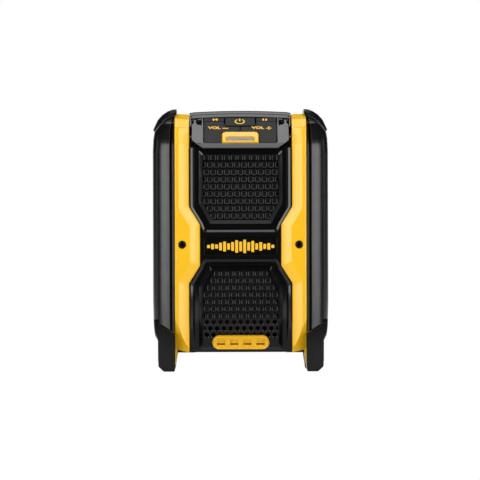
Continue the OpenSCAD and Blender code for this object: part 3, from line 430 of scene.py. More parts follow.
def moulded(name, dark, light, rough, grain=2600, depth=0.000002):
    """Moulded plastic or rubber: faint blotches of colour, an eroded grain and uneven gloss."""
    f = Finish(name, metallic=METALLIC.get(name, 0.0))
    f.feed(base_color=f.tinted(f.noise(45, 3), dark, light),
           roughness=f.between(f.noise(135, 4), rough - 0.02, rough + 0.025),
           normal=f.bumped(f.noise(grain, 2, 0.6), depth))
    return f.material


def painted_reflection(name, dark, light):
    """Clear plastic with a painted silvery reflection in its colour: slanting streaks of light and dark."""
    f = Finish(name)
    lean = f.node("ShaderNodeMapping", {
        "Vector": f.place, "Rotation": (0, 0.25, 0), "Scale": (0.25, 1, 1.6)})
    # painted reflection: light and dark streaks slanting across the lens
    reflection_bands = f.node("ShaderNodeTexNoise", {"Vector": lean, "Scale": 700.0, "Detail": 3.0})
    f.feed(base_color=f.tinted(f.between(reflection_bands, 0.0, 1.0), dark, light),
           roughness=f.between(f.noise(200, 3), 0.16, 0.26), normal=f.bumped(f.noise(900), 0.00001))
    return f.material


METALLIC = {"steel": 1.0, "brass": 1.0, "driver_metal": 0.3, "screw": 0.6}


def make_finishes():
    c = bpy.context.scene.speaker_colours

    def grey(dark, light):
        return [v * dark for v in c.black], [v * light for v in c.black]

    def yellow(dark):
        return [v * dark for v in c.yellow], c.yellow

    # dark and light colour, roughness, then the grain per metre and its depth
    shades = {name: moulded(name, *values) for name, values in {
        "black_plastic": (*grey(0.85, 1.15), 0.125),
        "grille_plastic": (*grey(0.6, 0.9), 0.12),
        "badge_plastic": (*grey(0.5, 0.7), 0.13),
        "yellow_plastic": (*yellow(0.96), 0.2, 2000),
        "bumper_rubber": (*grey(0.9, 1.3), 0.235, 3200),
        "cover_rubber": (*grey(1.1, 1.5), 0.45, 3200, 0.000006),
        "key_rubber": (*grey(0.7, 1.1), 0.66, 3600, 0.000004),
        "dark_plastic": (*grey(1.3, 1.7), 0.45),
        "print": (*yellow(0.9), 0.45, 4000),
        "steel": ((0.5, 0.5, 0.51), (0.62, 0.62, 0.63), 0.3),
        "brass": ((0.7, 0.5, 0.2), (0.8, 0.6, 0.27), 0.3),
        "board": ((0.012, 0.1, 0.035), (0.02, 0.14, 0.05), 0.4),
        "foam": (*grey(1.5, 2.5), 0.8, 1800, 0.0003),
        "driver_metal": (*grey(3, 4), 0.4),
        "cone_paper": (*grey(1.0, 1.6), 0.7, 1500, 0.0002),
        "cloth": (*grey(0.3, 0.6), 0.9, 5000, 0.0003),
        "screw": (*grey(1.2, 1.8), 0.35),
    }.items()}
    # the lens's silvery streaks are a painted reflection
    shades["lens"] = painted_reflection("lens", (0.05, 0.04, 0.035), (0.37, 0.3, 0.26))
    return shades


SHADES = {}


def shade(name):
    if not SHADES:
        SHADES.update(make_finishes())
    return SHADES[name]


# ---- places on the speaker

# the front's face along Y, and the height where the lower grille bends back
FACE, BEND = -58.0, 51.0
CHIN_TILT = math.radians(27)
DECK_TILT = math.radians(32)


def on_front(x, z, d):
    return (x, FACE + d, z)


def on_side(y, z, x):
    return (x, y, z)


def on_deck(x, v, w):
    """A place on the sloping keypad: v up the slope, w out of it."""
    c, s = math.cos(DECK_TILT), math.sin(DECK_TILT)
    return (x, -52 + v * c - w * s, 222 + v * s + w * c)


def on_lower(x, v, d):
    """A place on the lower grille, unfolded at its bend: v above the bend, d behind the face."""
    c, s = math.cos(CHIN_TILT), math.sin(CHIN_TILT)
    if abs(v) < 1e-6:
        return (x, FACE + d, BEND + d * math.tan(CHIN_TILT / 2))
    if v > 0:
        return (x, FACE + d, BEND + v)
    return (x, FACE + d * c - v * s, BEND + d * s + v * c)


# ---- side frames

# inner edge of a band by height, then the way it runs up the front and over the top
STRAP_EDGE = [[50, 0], [50, 85.5], [39.3, 102.5], [39.3, 142.9], [50, 159.9], [50, 260]]
STRAP_SIDE = [[-54, 18.2], [-62, 44], [-62, 220.6], [-58.5, 237], [-50, 245], [-36, 250.4]]
STRAP_OUTER = 64.2
SCREW_X, SCREW_Z = 56.8, 123
# the band's front, its lower end, and the heights up to which it leans back and folds
STRAP_FRONT, STRAP_FOOT, LEAN_TOP, FOLD_TOP = 62, 18.2, 44, 72
# how far in from the edge, or what share of the way from the crest out, and how deep
STRAP_SECTION = [("in", 0, 6.5), ("in", 0, 3.85), ("in", 0.2, 3.6), ("in", 0.6, 3.38), ("in", 1.5, 2.98),
                 ("in", 3.0, 2.34), ("in", 5.5, 1.36), ("in", 7.0, 0.87), ("in", 9.0, 0.33),
                 ("in", 9.9, 0.1), ("in", 10.4, 0), ("out", 0.5, 0.05), ("out", 0.88, 0.14),
                 ("out", 0.97, 0.4), ("out", 1.0, 0.9), ("edge", 0, 1.6), ("edge", 0, 6.5)]
# height of the fold at the foot of the band, by distance from the inner edge
STRAP_FOLD = [[0, 22.5], [3, 26], [6.7, 33], [9, 40.5], [14.2, 51]]
# what share of its depth the inner side keeps, by height
STRAP_CROWN = [[232, 1], [247, 0.1]]


def strap_mesh(name):
    """The band that runs up the front, over the top and down the back."""
    edge = rounded(STRAP_EDGE, 3.5, 3, closed=False)
    curves = {d: offset(edge, -d, closed=False) for kind, d, _ in STRAP_SECTION if kind == "in"}
    crest = offset(edge, -10.8, closed=False)
    side = rounded(STRAP_SIDE + [[-y, z] for y, z in reversed(STRAP_SIDE)], 3, 3, closed=False)
    corners = sorted({round(p[1], 2) for c in (edge, crest) for p in c})
    stations = [side[0]]
    for a, b in zip(side, side[1:]):
        stops = {1.0}
        count = math.ceil(math.dist(a, b) / 5)
        stops.update(i / count for i in range(1, count))
        if a[0] < 0 and b[1] - a[1] > 60:
            stops.update((z - a[1]) / (b[1] - a[1]) for z in corners if a[1] < z < b[1])
        for t in sorted(stops):
            point = [a[k] + (b[k] - a[k]) * t for k in (0, 1)]
            if math.dist(point, stations[-1]) > 0.15:
                stations.append(point)
    rings = []
    for i, (y, z) in enumerate(stations):
        a, b = stations[max(i - 1, 0)], stations[min(i + 1, len(stations) - 1)]
        run = unit((b[0] - a[0], b[1] - a[1]))
        out = (-run[1], run[0])
        level = z if y < 0 else 260
        ring = []
        for kind, t, deep in STRAP_SECTION:
            if kind == "in":
                x = at(curves[t], level, 1)
            elif kind == "out":
                inner = at(crest, level, 1)
                x = inner + t * (STRAP_OUTER - 0.35 - inner)
            else:
                x = STRAP_OUTER
            if kind == "in" and deep < 3.9:
                deep *= at(STRAP_CROWN, z)
            if z > FOLD_TOP:
                ring.append((x, y - out[0] * deep, z - out[1] * deep))
                continue
            # the foot of the band folds back below a line that climbs outward
            out_x, front = max(x - STRAP_EDGE[0][0], 0), -1 if y < 0 else 1
            fold, low = at(STRAP_FOLD, out_x), STRAP_FOOT + 0.24 * out_x
            t = (z - STRAP_FOOT) / (LEAN_TOP - STRAP_FOOT)
            lean = 0
            if t < 1:
                lean = (1 - t) * (3.5 + 4.5 * min(out_x / 12, 1))
                height = low + t * (fold - low)
            else:
                height = fold + (z - LEAN_TOP) / (FOLD_TOP - LEAN_TOP) * (FOLD_TOP - fold)
            ring.append((x, front * (STRAP_FRONT - lean - deep), height))
        rings.append(ring)
    return rings_mesh(name, rings)


def side_frame_mesh(name):
    """The band with its screw recess, the side wall under the bumper and the two legs."""
    band = cut(strap_mesh(name), name, turned("recess", (SCREW_X, SCREW_Z), [
        (4.6, -64), (4.25, -61.9), (3.85, -61.5), (3.8, -60.0)], 32))
    wall = rings_mesh(name, [[(x, y, z) for y, z in [
        (-46, base), (46, base), (55, base + 20), (55, top - 12), (46, top), (-46, top),
        (-55, top - 12), (-55, base + 20)]]
        for x, base, top in ((62.3, 18.6, 240), (64.4, 19, 239.6), (68.6, 21, 229))])
    legs = [rings_mesh(name, [[(x, y * side, z) for x, y in (
        (inner, 38), (69, 38), (69, 54), (inner, 54))] for inner, z in (
            (64.2, 4), (63.4, 6), (62.6, 10), (61.9, 15), (61.5, 20), (61.5, 27))]) for side in (-1, 1)]
    return joined(name, [band, wall, *legs])


# ---- bumpers

# plan of the rounded column and the groove beside it, from the side frame out to the side
COLUMN = [(64.4, -60.9), (64.7, -61.6), (65.3, -62.05), (66.1, -62.15), (66.9, -61.75),
          (67.3, -61), (67.4, -60.1), (68.1, -60.1), (68.3, -62.6), (68.55, -64.9), (68.8, -65.7),
          (69.25, -66), (71.3, -65.63), (73, -65.27), (75, -64.75), (76.5, -64.32), (78.3, -63.68),
          (79.6, -63.06), (81, -62.22), (81.5, -61.85), (82.3, -60.9), (83.4, -59.2),
          (84.4, -56.9), (85.1, -53.6)]
COLUMN_INNER, COLUMN_WIDTH, COLUMN_REACH = 64.4, 20.7, 66
RIBS, RIB_FIRST, RIB_PITCH = 8, 80.6, 14.7
# half the width of the bumpers by height, then how far they reach to the front
BUMPER_SIDE = [[79.7, 12], [80.5, 12.8], [80.5, 29.4], [81.1, 30.6], [83.4, 34.8], [84.1, 39.7],
               [84.6, 46], [85.1, 69], [85.1, 214],
               [84.6, 225.8], [83.4, 233.3], [79.3, 239.1], [75.4, 243], [69.9, 245.9], [65.2, 247.9]]
BUMPER_REACH = rounded([[66, 0], [66, 218], [58, 240]], 40, 6, closed=False)[:-1] + [
    [58, 240], [56.9, 241.6], [55.5, 242.4], [40, 248.3]]


def bumper_mesh(name):
    """The side rail with its rounded column at either end, its ribbed window and its two feet."""
    rings = []
    heights = sorted({p[1] for p in BUMPER_SIDE} | {p[1] for p in BUMPER_REACH if 12 < p[1] < 247.9}
                     | {12.4, 90, 130, 170, 200, 221, 229, 236, 247})
    for z in heights:
        half, reach = at(BUMPER_SIDE, z, 1), at(BUMPER_REACH, z, 1)
        low = 0.8 if z == 12 else 0
        front = [(COLUMN_INNER + (x - COLUMN_INNER) * (half - COLUMN_INNER) / COLUMN_WIDTH,
                  y + COLUMN_REACH - reach + low * (y < -60), z) for x, y in COLUMN]
        rings.append(front + [(x, -y, z) for x, y, _ in reversed(front)])
    body = rings_mesh(name, rings)
    window = pad("window", box_outline(-32, 32, 72, 196.8), [(0.4, 83), (0, 90)], on_side, 4)
    body = cut(body, name, window)
    rib = pad("rib", box_outline(-32.5, 32.5, -2.6, 2.6), [
        (0, 82.4), (0, 84.1), (0.3, 84.5), (0.9, 84.7)], on_side)
    places = [((0, 0, RIB_FIRST + RIB_PITCH * i), 0) for i in range(RIBS)]
    ribs = spread("ribs", places, [rib], "bumper_rubber")
    outline = [[63.6, -70], [79.7, -70], [80.3, -69.5], [80.5, -68.8], [80.5, -38], [63.6, -38]]
    levels = []
    # height of a ring, how far in it lies at its ends, its front and its side
    for z, low, front, side in ((0, 1.4, 1.6, 6.0), (1.0, 0.5, 0.6, 4.6), (4.4, 0, 0, 1.0), (5.4, 0, 0, 0.5),
                                (12, 0, 0, 0.1), (29.4, 0, 0, 0), (30.6, 0, 0, -0.6), (34.8, 0, 0, -2.9),
                                (39.7, 0, 0, -3.6), (42.6, 0, 0.1, -3.6), (43.5, 0, 0.5, -3.6),
                                (44.5, 0, 1.5, -3.7), (45.4, 0, 4, -3.7), (46, 0, 6.4, -3.7)):
        levels.append(([front, 0.77 * front + 0.64 * side, 0.27 * front + 0.96 * side, side, low, low], z))

    def slanted(side):
        # the step above the foot climbs outward
        return lambda x, y, z: (x, y * side, z + max(0, min(1, (z - 16) / 24)) * ((x - 73) * 0.6 - 2.2))
    return joined(name, [body, ribs, *[pad(name, outline, levels, slanted(side)) for side in (1, -1)]])


# lower line of a corner guard, then its upper line, both from the side up to the top
GUARD_UNDER = [[83.4, 233.3], [79.3, 239.1], [75.4, 243], [69.9, 245.9], [64.4, 247.9], [62, 250.6]]
GUARD_OVER = [[85.0, 234.8], [80.5, 244.6], [75.7, 249.8], [70.9, 253], [66, 254.9], [62, 255.1]]


def guard_mesh(name):
    """A rubber cap over the shoulder; its ends step down in fine ridges."""
    steps = [(-44, 0.12), (-43.2, 0.3), (-42.6, 0.36), (-42.3, 0.3), (-41.4, 0.55), (-40.8, 0.6),
             (-40.4, 0.54), (-39.4, 0.8), (-38.8, 0.84), (-38.3, 0.78), (-36.6, 0.97), (-34, 1.0)]
    steps += [(-y, t) for y, t in reversed(steps)]
    rings = []
    for y, t in steps:
        over = [[u[k] + (o[k] - u[k]) * t for k in (0, 1)] for u, o in zip(GUARD_UNDER, GUARD_OVER)]
        ring = GUARD_UNDER + list(reversed(over))
        rings.append([(x, y, z) for x, z in ring])
    return rings_mesh(name, rings)


# ---- grilles

# rims of the recesses, beside and below: how far outside the recess, and how deep behind the face
RIM_BESIDE = [(3.2, 1.5), (3.1, -0.7), (2.95, -1.1), (2.75, -1.4), (2.5, -1.6), (2.3, -1.65),
              (2.1, -1.6), (0.35, -1.06), (0.1, -0.8), (-0.05, -0.2), (-0.05, 3.6), (1.2, 3.8)]
RIM_ACROSS = [(3.35, 1.0), (3.3, -1.0), (3.1, -2.0), (2.85, -2.5), (2.6, -2.62), (2.4, -2.6),
              (2.2, -2.5), (0.35, -0.9), (0.1, -0.6), (-0.05, 0), (-0.05, 3.6), (1.2, 3.8)]
UPPER_RECESS = [[-46.1, 217], [-46.1, 159.8], [-36.4, 143.6], [-34.2, 137.5], [34.2, 137.5],
                [36.4, 143.6], [46.1, 159.8], [46.1, 217]]
LOWER_RECESS = [[46.1, 19], [46.1, 48.2], [46.1, 83.6], [36.4, 99.8], [34.2, 105.9], [-34.2, 105.9],
                [-36.4, 99.8], [-46.1, 83.6], [-46.1, 48.2], [-46.1, 19]]


# below this height the panel's edge leans back by this share
LEAN_START, LEAN_SHARE = 48.2, 8 / 30


def rim_mesh(name, line):
    """A rounded rim along the edge of a recess; the foot of the panel leans back, and so does the rim."""
    path = rounded(line, 2.5, 3, closed=False)
    rings = [[] for _ in path]
    for (beside, d0), (across, d1) in zip(RIM_BESIDE, RIM_ACROSS):
        curves = [offset(path, -out, closed=False) for out in (beside, across)]
        for i, ring in enumerate(rings):
            a, b = path[max(i - 1, 0)], path[min(i + 1, len(path) - 1)]
            t = max(0, abs(unit((b[0] - a[0], b[1] - a[1]))[0]) - 0.6) / 0.4
            x, z = [c0 + (c1 - c0) * t for c0, c1 in zip(curves[0][i], curves[1][i])]
            ring.append((x, FACE + d0 + (d1 - d0) * t + max(0, LEAN_START - z) * LEAN_SHARE, z))
    return rings_mesh(name, rings)


def front_panel_mesh(name):
    """The front panel with a rim along each recess."""
    return joined(name, [softened("front_panel", 1.0), rim_mesh(name, UPPER_RECESS),
                         rim_mesh(name, LOWER_RECESS)])


# outlines of the grille blocks; the lower one is unfolded, with its bend at height 0
UPPER_BLOCK = [[-30, 143], [30, 143], [40.6, 162.5], [40.6, 215], [-40.6, 215], [-40.6, 162.5]]
LOWER_BLOCK = [[-40.6, -34.8], [40.6, -34.8], [40.6, 0], [40.6, 31.3], [30, 50.8], [-30, 50.8],
               [-40.6, 31.3], [-40.6, 0]]
# the blocks' bevelled rims: how far in, and how deep behind the face
BLOCK_RIM = [(0, 7), (0, 1.85), (0.08, 1.56), (0.25, 1.41), (3.35, 0.24), (3.7, 0.05), (4.1, 0), (4.6, 0),
             (4.6, 2.5), (2.0, 4.4), (1.6, 7)]
# from hole to hole across, and how far in from a block's edge its perforated sheet ends
PITCH, SHEET_INSET = 6.63, 4.57
# half the width of a hole, then its rounded mouth: how far out from its wall, and how deep
HOLE = 1.7
HOLE_MOUTH = [(0.8, 0), (0.64, 0.04), (0.2, 0.405), (0.04, 0.72), (0, 1.3)]


def hole_tile(high, holed=True):
    """One cell of a perforated sheet, lying in the X Z plane with its face at Y 0."""
    w, h, depth = PITCH / 2, high / 2, 2.5
    shares = (-0.6, -0.2, 0.2, 0.6, 1)
    around = ([(w, h * k) for k in shares] + [(-w * k, h) for k in shares]
              + [(-w, -h * k) for k in shares] + [(w * k, -h) for k in shares])
    rings = [[(x, 0, z) for x, z in around]]
    if not holed:
        rings.append([(x, depth, z) for x, z in around])
        return rings_mesh("tile", rings)
    # a hole nearly square, with a rounded mouth
    for grow, y in HOLE_MOUTH + [(0, depth)]:
        half = (HOLE + grow, HOLE + grow + 0.25)
        ring = []
        for x, z in around:
            a = math.atan2(z / h, x / w)
            k = (abs(math.cos(a)) ** 5 + abs(math.sin(a)) ** 5) ** -0.2
            ring.append((half[0] * k * math.cos(a), y, half[1] * k * math.sin(a) - 0.2))
        rings.append(ring)
    rings.append([(x, depth, z) for x, z in around])
    return rings_mesh("tile", rings, caps=False)


def clipped(mesh, name, planes):
    """The mesh within planes, each a point in millimetres and an outward normal, with the cuts closed."""
    bm = bmesh.new()
    bm.from_mesh(mesh)
    bpy.data.meshes.remove(mesh)
    for point, normal in planes:
        bmesh.ops.bisect_plane(bm, geom=bm.verts[:] + bm.edges[:] + bm.faces[:], dist=1e-7,
                               plane_co=[c * MM for c in point], plane_no=normal, clear_outer=True)
        bmesh.ops.holes_fill(bm, edges=[e for e in bm.edges if e.is_boundary], sides=0)
    return mesh_of(bm, name)


def edges_of(outline):
    """Each side of an outline: its first point and its direction."""
    return [(a, unit((b[0] - a[0], b[1] - a[1]))) for a, b in zip(outline, outline[1:] + outline[:1])]


def fits(outline, x, z):
    """Whether a hole fits: it may stand close to an upright side, less so to a level or slanted one."""
    for a, t in edges_of(outline):
        upright, level = abs(t[0]) < 1e-6, abs(t[1]) <= 1e-6
        room = -0.1 if upright else 2.45 + (0.2 if level else 0.5)
        if (x - a[0]) * -t[1] + (z - a[1]) * t[0] - 4 - room <= 0:
            return False
    return True


def perforated(name, outline, top, pitch, rows, first, spare):
    """A sheet of cells in staggered rows; spare is how many blank rows there are above and below."""
    places = []
    for i in range(-spare[0], rows + spare[1]):
        for j in range(-8, 9):
            x, z = (j + (0 if i % 2 == first else 0.5)) * PITCH, top - i * pitch
            places.append(((x, 0, z), 0 if 0 <= i < rows and fits(outline, x, z) else 1))
    sheet = spread(name, places, [hole_tile(pitch), hole_tile(pitch, holed=False)], "grille_plastic", 0.002)
    bm = bmesh.new()
    bm.from_mesh(sheet)
    # walls between blank cells lie inside the sheet
    inner = [f for f in bm.faces if abs(f.normal.y) < 0.5 and all(len(e.link_faces) > 2 for e in f.edges
             if abs(e.verts[0].co.y - e.verts[1].co.y) < 1e-6)]
    bmesh.ops.delete(bm, geom=inner, context="FACES_ONLY")
    bm.to_mesh(sheet)
    bm.free()
    return clipped(sheet, name, [((a[0], 0, a[1]), (t[1], 0, -t[0]))
                                 for a, t in edges_of(offset(outline, SHEET_INSET))])


def upper_grille_mesh(name):
    rim = rings_mesh(name, [[on_front(*p, d) for p in rounded(offset(UPPER_BLOCK, inset), 1.6, 2)]
                            for inset, d in BLOCK_RIM], wrap=True)
    sheet = perforated(name, UPPER_BLOCK, 207.65, 7.06, 9, 0, (2, 2))
    sheet.transform(Matrix.Translation((0, FACE * MM, 0)))
    return joined(name, [rim, sheet])


def lower_grille_mesh(name):
    rings = []
    for inset, d in BLOCK_RIM:
        # the bevels of the two slanted edges are steeper
        steep = inset * (0.8 if 0.3 < inset < 4.2 and d < 1 else 1)
        edges = [steep if i in (3, 5) else inset for i in range(len(LOWER_BLOCK))]
        rings.append([on_lower(*p, d) for p in rounded(offset(LOWER_BLOCK, edges), 1.6, 2)])
    rim = rings_mesh(name, rings, wrap=True)
    upper = [[-40.6, -SHEET_INSET], [40.6, -SHEET_INSET], [40.6, 31.3], [30, 50.8], [-30, 50.8],
             [-40.6, 31.3]]
    high = perforated(name, upper, 44.05, 6.81, 7, 1, (2, 1))
    high.transform(Matrix.Translation((0, FACE * MM, BEND * MM)))
    chin = box_outline(-40.6, 40.6, -34.8, SHEET_INSET)
    low = perforated(name, chin, -3.7, 7.06, 3, 0, (1, 3))
    low.transform(Matrix.Translation((0, FACE * MM, BEND * MM)) @ Matrix.Rotation(CHIN_TILT, 4, "X"))
    return joined(name, [rim, high, low])


def port_trim_mesh(name):
    """The yellow pill: a raised rim round four scoops, each with a slot at its foot."""
    pill = box_outline(-27.85, 27.85, -32.55, -18.05)
    body = pad(name, pill, [(0.2, 0.6), (0.1, -1.9), (0.25, -2.6), (0.6, -3.1), (1.1, -3.3), (1.6, -3.1),
                            (1.9, -2.7), (2.5, -2.6)], on_lower, 7.2, 7)
    tools = []
    for i in range(4):
        x = (i - 1.5) * 12.8
        # a scoop slopes in from above and ends in a slot
        profile = [(-20.6, -4), (-20.6, -2.8), (-21.6, -2.2), (-25.2, -0.9), (-25.5, -0.3), (-26.9, -0.3),
                   (-26.9, 0.1), (-28.4, 0.1), (-28.5, -0.9), (-28.9, -2.0), (-29.5, -2.7), (-29.5, -4)]
        tools.append(rings_mesh("scoop", [[on_lower(x + u, v * (1 - k) - 25 * k, d) for v, d in profile]
                                          for u, k in ((-3.9, 0.2), (-3.6, 0.05), (-3.1, 0), (3.1, 0),
                                                       (3.6, 0.05), (3.9, 0.2))]))
    return cut(body, name, joined("scoops", tools))


# ---- top cover and keypad

COVER_END = 49.6


def top_cover_mesh(name):
    """The cover round the keys, with the ridge and the finger recess behind them."""
    arms = []
    for side in (-1, 1):
        # the inner corner is filled with a small radius, the outer one is cut off
        arm = [[35.9, 30.6], [35.9, -0.3], [35.7, -1.2], [35.0, -2.3], [33.9, -3.1], [33.1, -3.4],
               [43.3, -3.4], [47.6, 3], [47.6, 30.6]]
        arms.append(pad(name, arm, [(0, -8), (0, 0.8), (0.2, 1.25), (0.55, 1.5)],
                        lambda x, v, w, side=side: on_deck(x * side, v, w)))
    # the bar in front of the keys, its corners cut off
    rings = []
    for x, t in ((-43.6, 0), (-42.9, 0.05), (-36.4, 1), (36.4, 1), (42.9, 0.05), (43.6, 0)):
        low = 0.4 * (abs(x) > 43)
        rings.append([(x, y - 4.9 * t * k, z - low - 4.2 * t * k) for y, z, k in (
            (-52.5, 216.2, 0), (-52.5, 220, 0), (-55.2, 221.4, 0), (-55.7, 221.5, 0), (-56.2, 221.2, 0),
            (-55.8, 221.3, 1), (-56.0, 220.8, 1), (-55.6, 220.3, 1))]
            + [(x, -52.5, 215.9)])
    bar = rings_mesh(name, rings)
    # floor under the keys and the pockets at their ends
    floor = pad(name, box_outline(-COVER_END, COVER_END, -3, 52), [(0, -9), (0, -4.4)], on_deck)
    # pockets, cheeks beside the side frames, dams beside the keys
    trims = [pad(name, box_outline(*sorted((side * x0, side * x1)), *run), [(0, -6), *levels], on_deck)
             for x0, x1, run, levels in (
                 (38.3, 47.2, (31.2, 50), [(0, -1.3), (0.3, -1.0)]),
                 (47.4, COVER_END, (29, 49), [(0, 1.0), (0.3, 1.35), (0.7, 1.5)]),
                 (35.9, 38.0, (29, 49), [(0, -0.3), (0.3, 0), (0.8, 0.1)])) for side in (-1, 1)]
    knobs = [turned(name, centre, [(r, side * t) for r, t in levels], 20, "x")
             for side in (-1, 1) for centre, levels in (
                 ((-15.6, 242.6), [(3.9, 38), (3.9, 40.6), (3.6, 42.0), (2.6, 42.9), (1.2, 43.4)]),
                 ((-14.4, 244.6), [(3.2, 48.4), (3.2, 46.6), (2.9, 45.8), (1.8, 45.2)]))]
    # the ridge, crowned across, with a step along its front
    rings = []
    for i in range(25):
        x = -COVER_END + 2 * COVER_END * i / 24
        fall = 1.6 * (x / 50) ** 2
        ends = 0.5 if i in (0, 24) else 0
        rings.append([(x, y + ends * (y < -9), z - fall - ends * (z > 248)) for y, z in (
            (4, 236), (-9.4, 236), (-9.4, 247.9), (-12.1, 248.1), (-11.5, 248.8), (-8.5, 250.9),
            (-8.3, 250.9), (-8.1, 251.4), (-7.7, 251.7), (-5.0, 253.5), (-3.6, 254.1), (-2, 254.3),
            (0.6, 254.2), (2.2, 253.6), (3.4, 252), (3.9, 249.5))])
    ridge = rings_mesh(name, rings)
    roof = rings_mesh(name, [[(x, y, z) for y, z in rounded(
        [[3, 236], [3, 249.4], [44, 249.4], [50, 244.8], [57.5, 233.8], [58, 220.8], [58, 216.8],
         [40, 216.8]], 3, 3)] for x in (-COVER_END, COVER_END)])
    grip = pad("grip", box_outline(-42, 42, 4.8, 34.8), [
        (0.6, 231.4), (0, 232), (0, 248.2), (-0.5, 249), (-1.4, 249.6), (-1.4, 251)],
        lambda x, y, z: (x, y, z), 3)
    roof = cut(roof, name, grip)
    front = rings_mesh(name, [[(x, y, z) for y, z in (
        (-57.8, 216.8), (-57.8, 217.6), (-52, 219), (-30, 230), (40, 230), (40, 216.8))]
        for x in (-COVER_END, COVER_END)])
    return joined(name, [bar, floor, ridge, roof, front, *arms, *trims, *knobs])


# outlines of the keys on the deck; the keys on the left are mirrored ones
KEYS = {
    "power_button": box_outline(-14.4, 14.4, 32.5, 47.15),
    "play_button": box_outline(15.75, 35.25, 41.25, 47.15),
    "volume_up_button": [[18.35, 0.35], [35.25, 0.35], [35.25, 40.55], [15.75, 40.55], [15.75, 30.75],
                         [0.35, 30.75], [0.35, 20.55], [18.35, 20.55]],
}


def key_mesh(name, shape, side):
    """A key with soft edges; the power key stands a little higher."""
    top = 0.35 if shape == "power_button" else 0
    return pad(name, KEYS[shape], [(0.3, top - 3), (0, top - 2.7), (0, top - 0.55), (0.165, top - 0.165),
                                   (0.55, top)], lambda x, v, w: on_deck(x * side, v, w))


BEZEL = [[-18, 0.35], [18, 0.35], [18, 20.2], [-18, 20.2]]
BEZEL_RADII = [0.4, 0.4, 4.2, 4.2]


def bezel_mesh(name):
    """The yellow surround of the indicator, with a sunk bed for its lens."""
    rings = []
    # how far in, on all sides or on each, and how high
    for d, w in ((0, -4), (0, -0.2), (0.35, 0.5), (1.0, 0.9), (1.8, 1.0), ([2.2, 3.2, 8.0, 3.2], 0.85),
                 ([2.6, 3.6, 8.6, 3.6], 0.4), ([3.2, 4.8, 9.4, 4.8], -0.3), ([3.2, 4.8, 9.4, 4.8], -4)):
        inner = offset(BEZEL, d)
        ring = []
        for i, corner in enumerate(inner):
            r = max(BEZEL_RADII[i] - (d[0] if isinstance(d, list) else d) * 0.6, 0.3)
            ring += rounded([inner[i - 1], corner, inner[(i + 1) % 4]], r, 4, closed=False)[1:-1]
        rings.append([on_deck(x, v, w) for x, v in ring])
    return rings_mesh(name, rings, wrap=True)


def strokes(name, paths, width, place=on_deck):
    """Printed lines: each path is a list of points, closed if its first point is its last."""
    meshes = []
    for path in paths:
        loop = math.dist(path[0], path[-1]) < 1e-6
        line = path[:-1] if loop else path
        left, right = offset(line, width / 2, loop), offset(line, -width / 2, loop)
        rings = [[place(*p, -0.3), place(*p, 0.12), place(*q, 0.12), place(*q, -0.3)]
                 for p, q in zip(left, right)]
        meshes.append(rings_mesh(name, rings, caps=not loop, wrap=loop))
    return joined(name, meshes)


def arc(cx, cy, r, a0, a1, n):
    turns = [math.radians(a0 + (a1 - a0) * i / n) for i in range(n + 1)]
    return [[cx + r * math.cos(a), cy + r * math.sin(a)] for a in turns]


def lettering(name, text, x, v, size=6.3):
    """Raised letters on the keypad."""
    curve = bpy.data.curves.new(name, "FONT")
    curve.body, curve.size, curve.extrude = text, size * MM, 0.1 * MM
    curve.offset = 0.045 * size * MM
    curve.align_x, curve.align_y = "CENTER", "CENTER"
    mesh = evaluated(linked(name, curve), name)
    mesh.transform(Matrix.Scale(0.98, 4, (1, 0, 0)))
    mesh.transform(Matrix.Translation([c * MM for c in on_deck(x, v, 0.05)])
                   @ Matrix.Rotation(DECK_TILT, 4, "X"))
    return mesh


def screw_mesh(x, z=SCREW_Z, front=-61.1, r=3.75):
    """A black screw head with a six-lobed drive; it is as wide as its recess, so its dark rim also stands in
    for the recess's shade.
    """
    star = []
    for a in [math.radians(turn) for turn in range(0, 360, 10)]:
        lobe = 1.55 + 0.38 * math.cos(a * 6)
        star.append((x + lobe * math.cos(a), z + lobe * math.sin(a)))
    # the head fills its recess: its dark outer rim is partly painted shade
    head = turned("head", (x, z), [(r, front + 1.5), (r, front + 0.7), (r * 0.93, front + 0.3),
                                   (r * 0.75, front + 0.08), (r * 0.5, front)], 32)
    return cut(head, "head", rings_mesh("drive", [[(px, front + d, pz) for px, pz in star]
                                                  for d in (-0.5, 1.1)]))


class SpeakerColours(bpy.types.PropertyGroup):
    """Colours of the mouldings."""
    black: bpy.props.FloatVectorProperty(
        name="Black", description="Colour of the black mouldings", subtype="COLOR",
        default=(0.003, 0.003, 0.0032), min=0, max=1)
    yellow: bpy.props.FloatVectorProperty(
        name="Yellow", description="Colour of the side frames and marks", subtype="COLOR",
        default=(0.98, 0.54, 0.014), min=0, max=1)


class SpeakerCamera(bpy.types.PropertyGroup):
    """Where the camera stands."""
    distance: bpy.props.FloatProperty(
        name="Distance", description="From the camera to the middle of the speaker",
        default=5.0, min=0.5, unit="LENGTH")
    height: bpy.props.FloatProperty(
        name="Height", description="Height of the camera", default=0.128, min=0, unit="LENGTH")
    yaw: bpy.props.FloatProperty(
        name="Yaw", description="Turn of the camera to the left of the middle",
        default=math.radians(0.3), subtype="ANGLE")
    roll: bpy.props.FloatProperty(
        name="Roll", description="Tilt of the camera about its own axis",
        default=math.radians(0.15), subtype="ANGLE")


# CAD nodes that are used with rounded edges: width of the rounding in millimetres, and finish
SOFT_NODES = {
    "rear_cover": (0.8, "black_plastic"), "badge_plate": (0.3, "badge_plastic"),
    "port_cover": (0.5, "cover_rubber"), "battery_dock": (0.5, "dark_plastic"),
    "terminal_block": (0.5, "dark_plastic"), "indicator_lens": (0.3, "lens"),
}
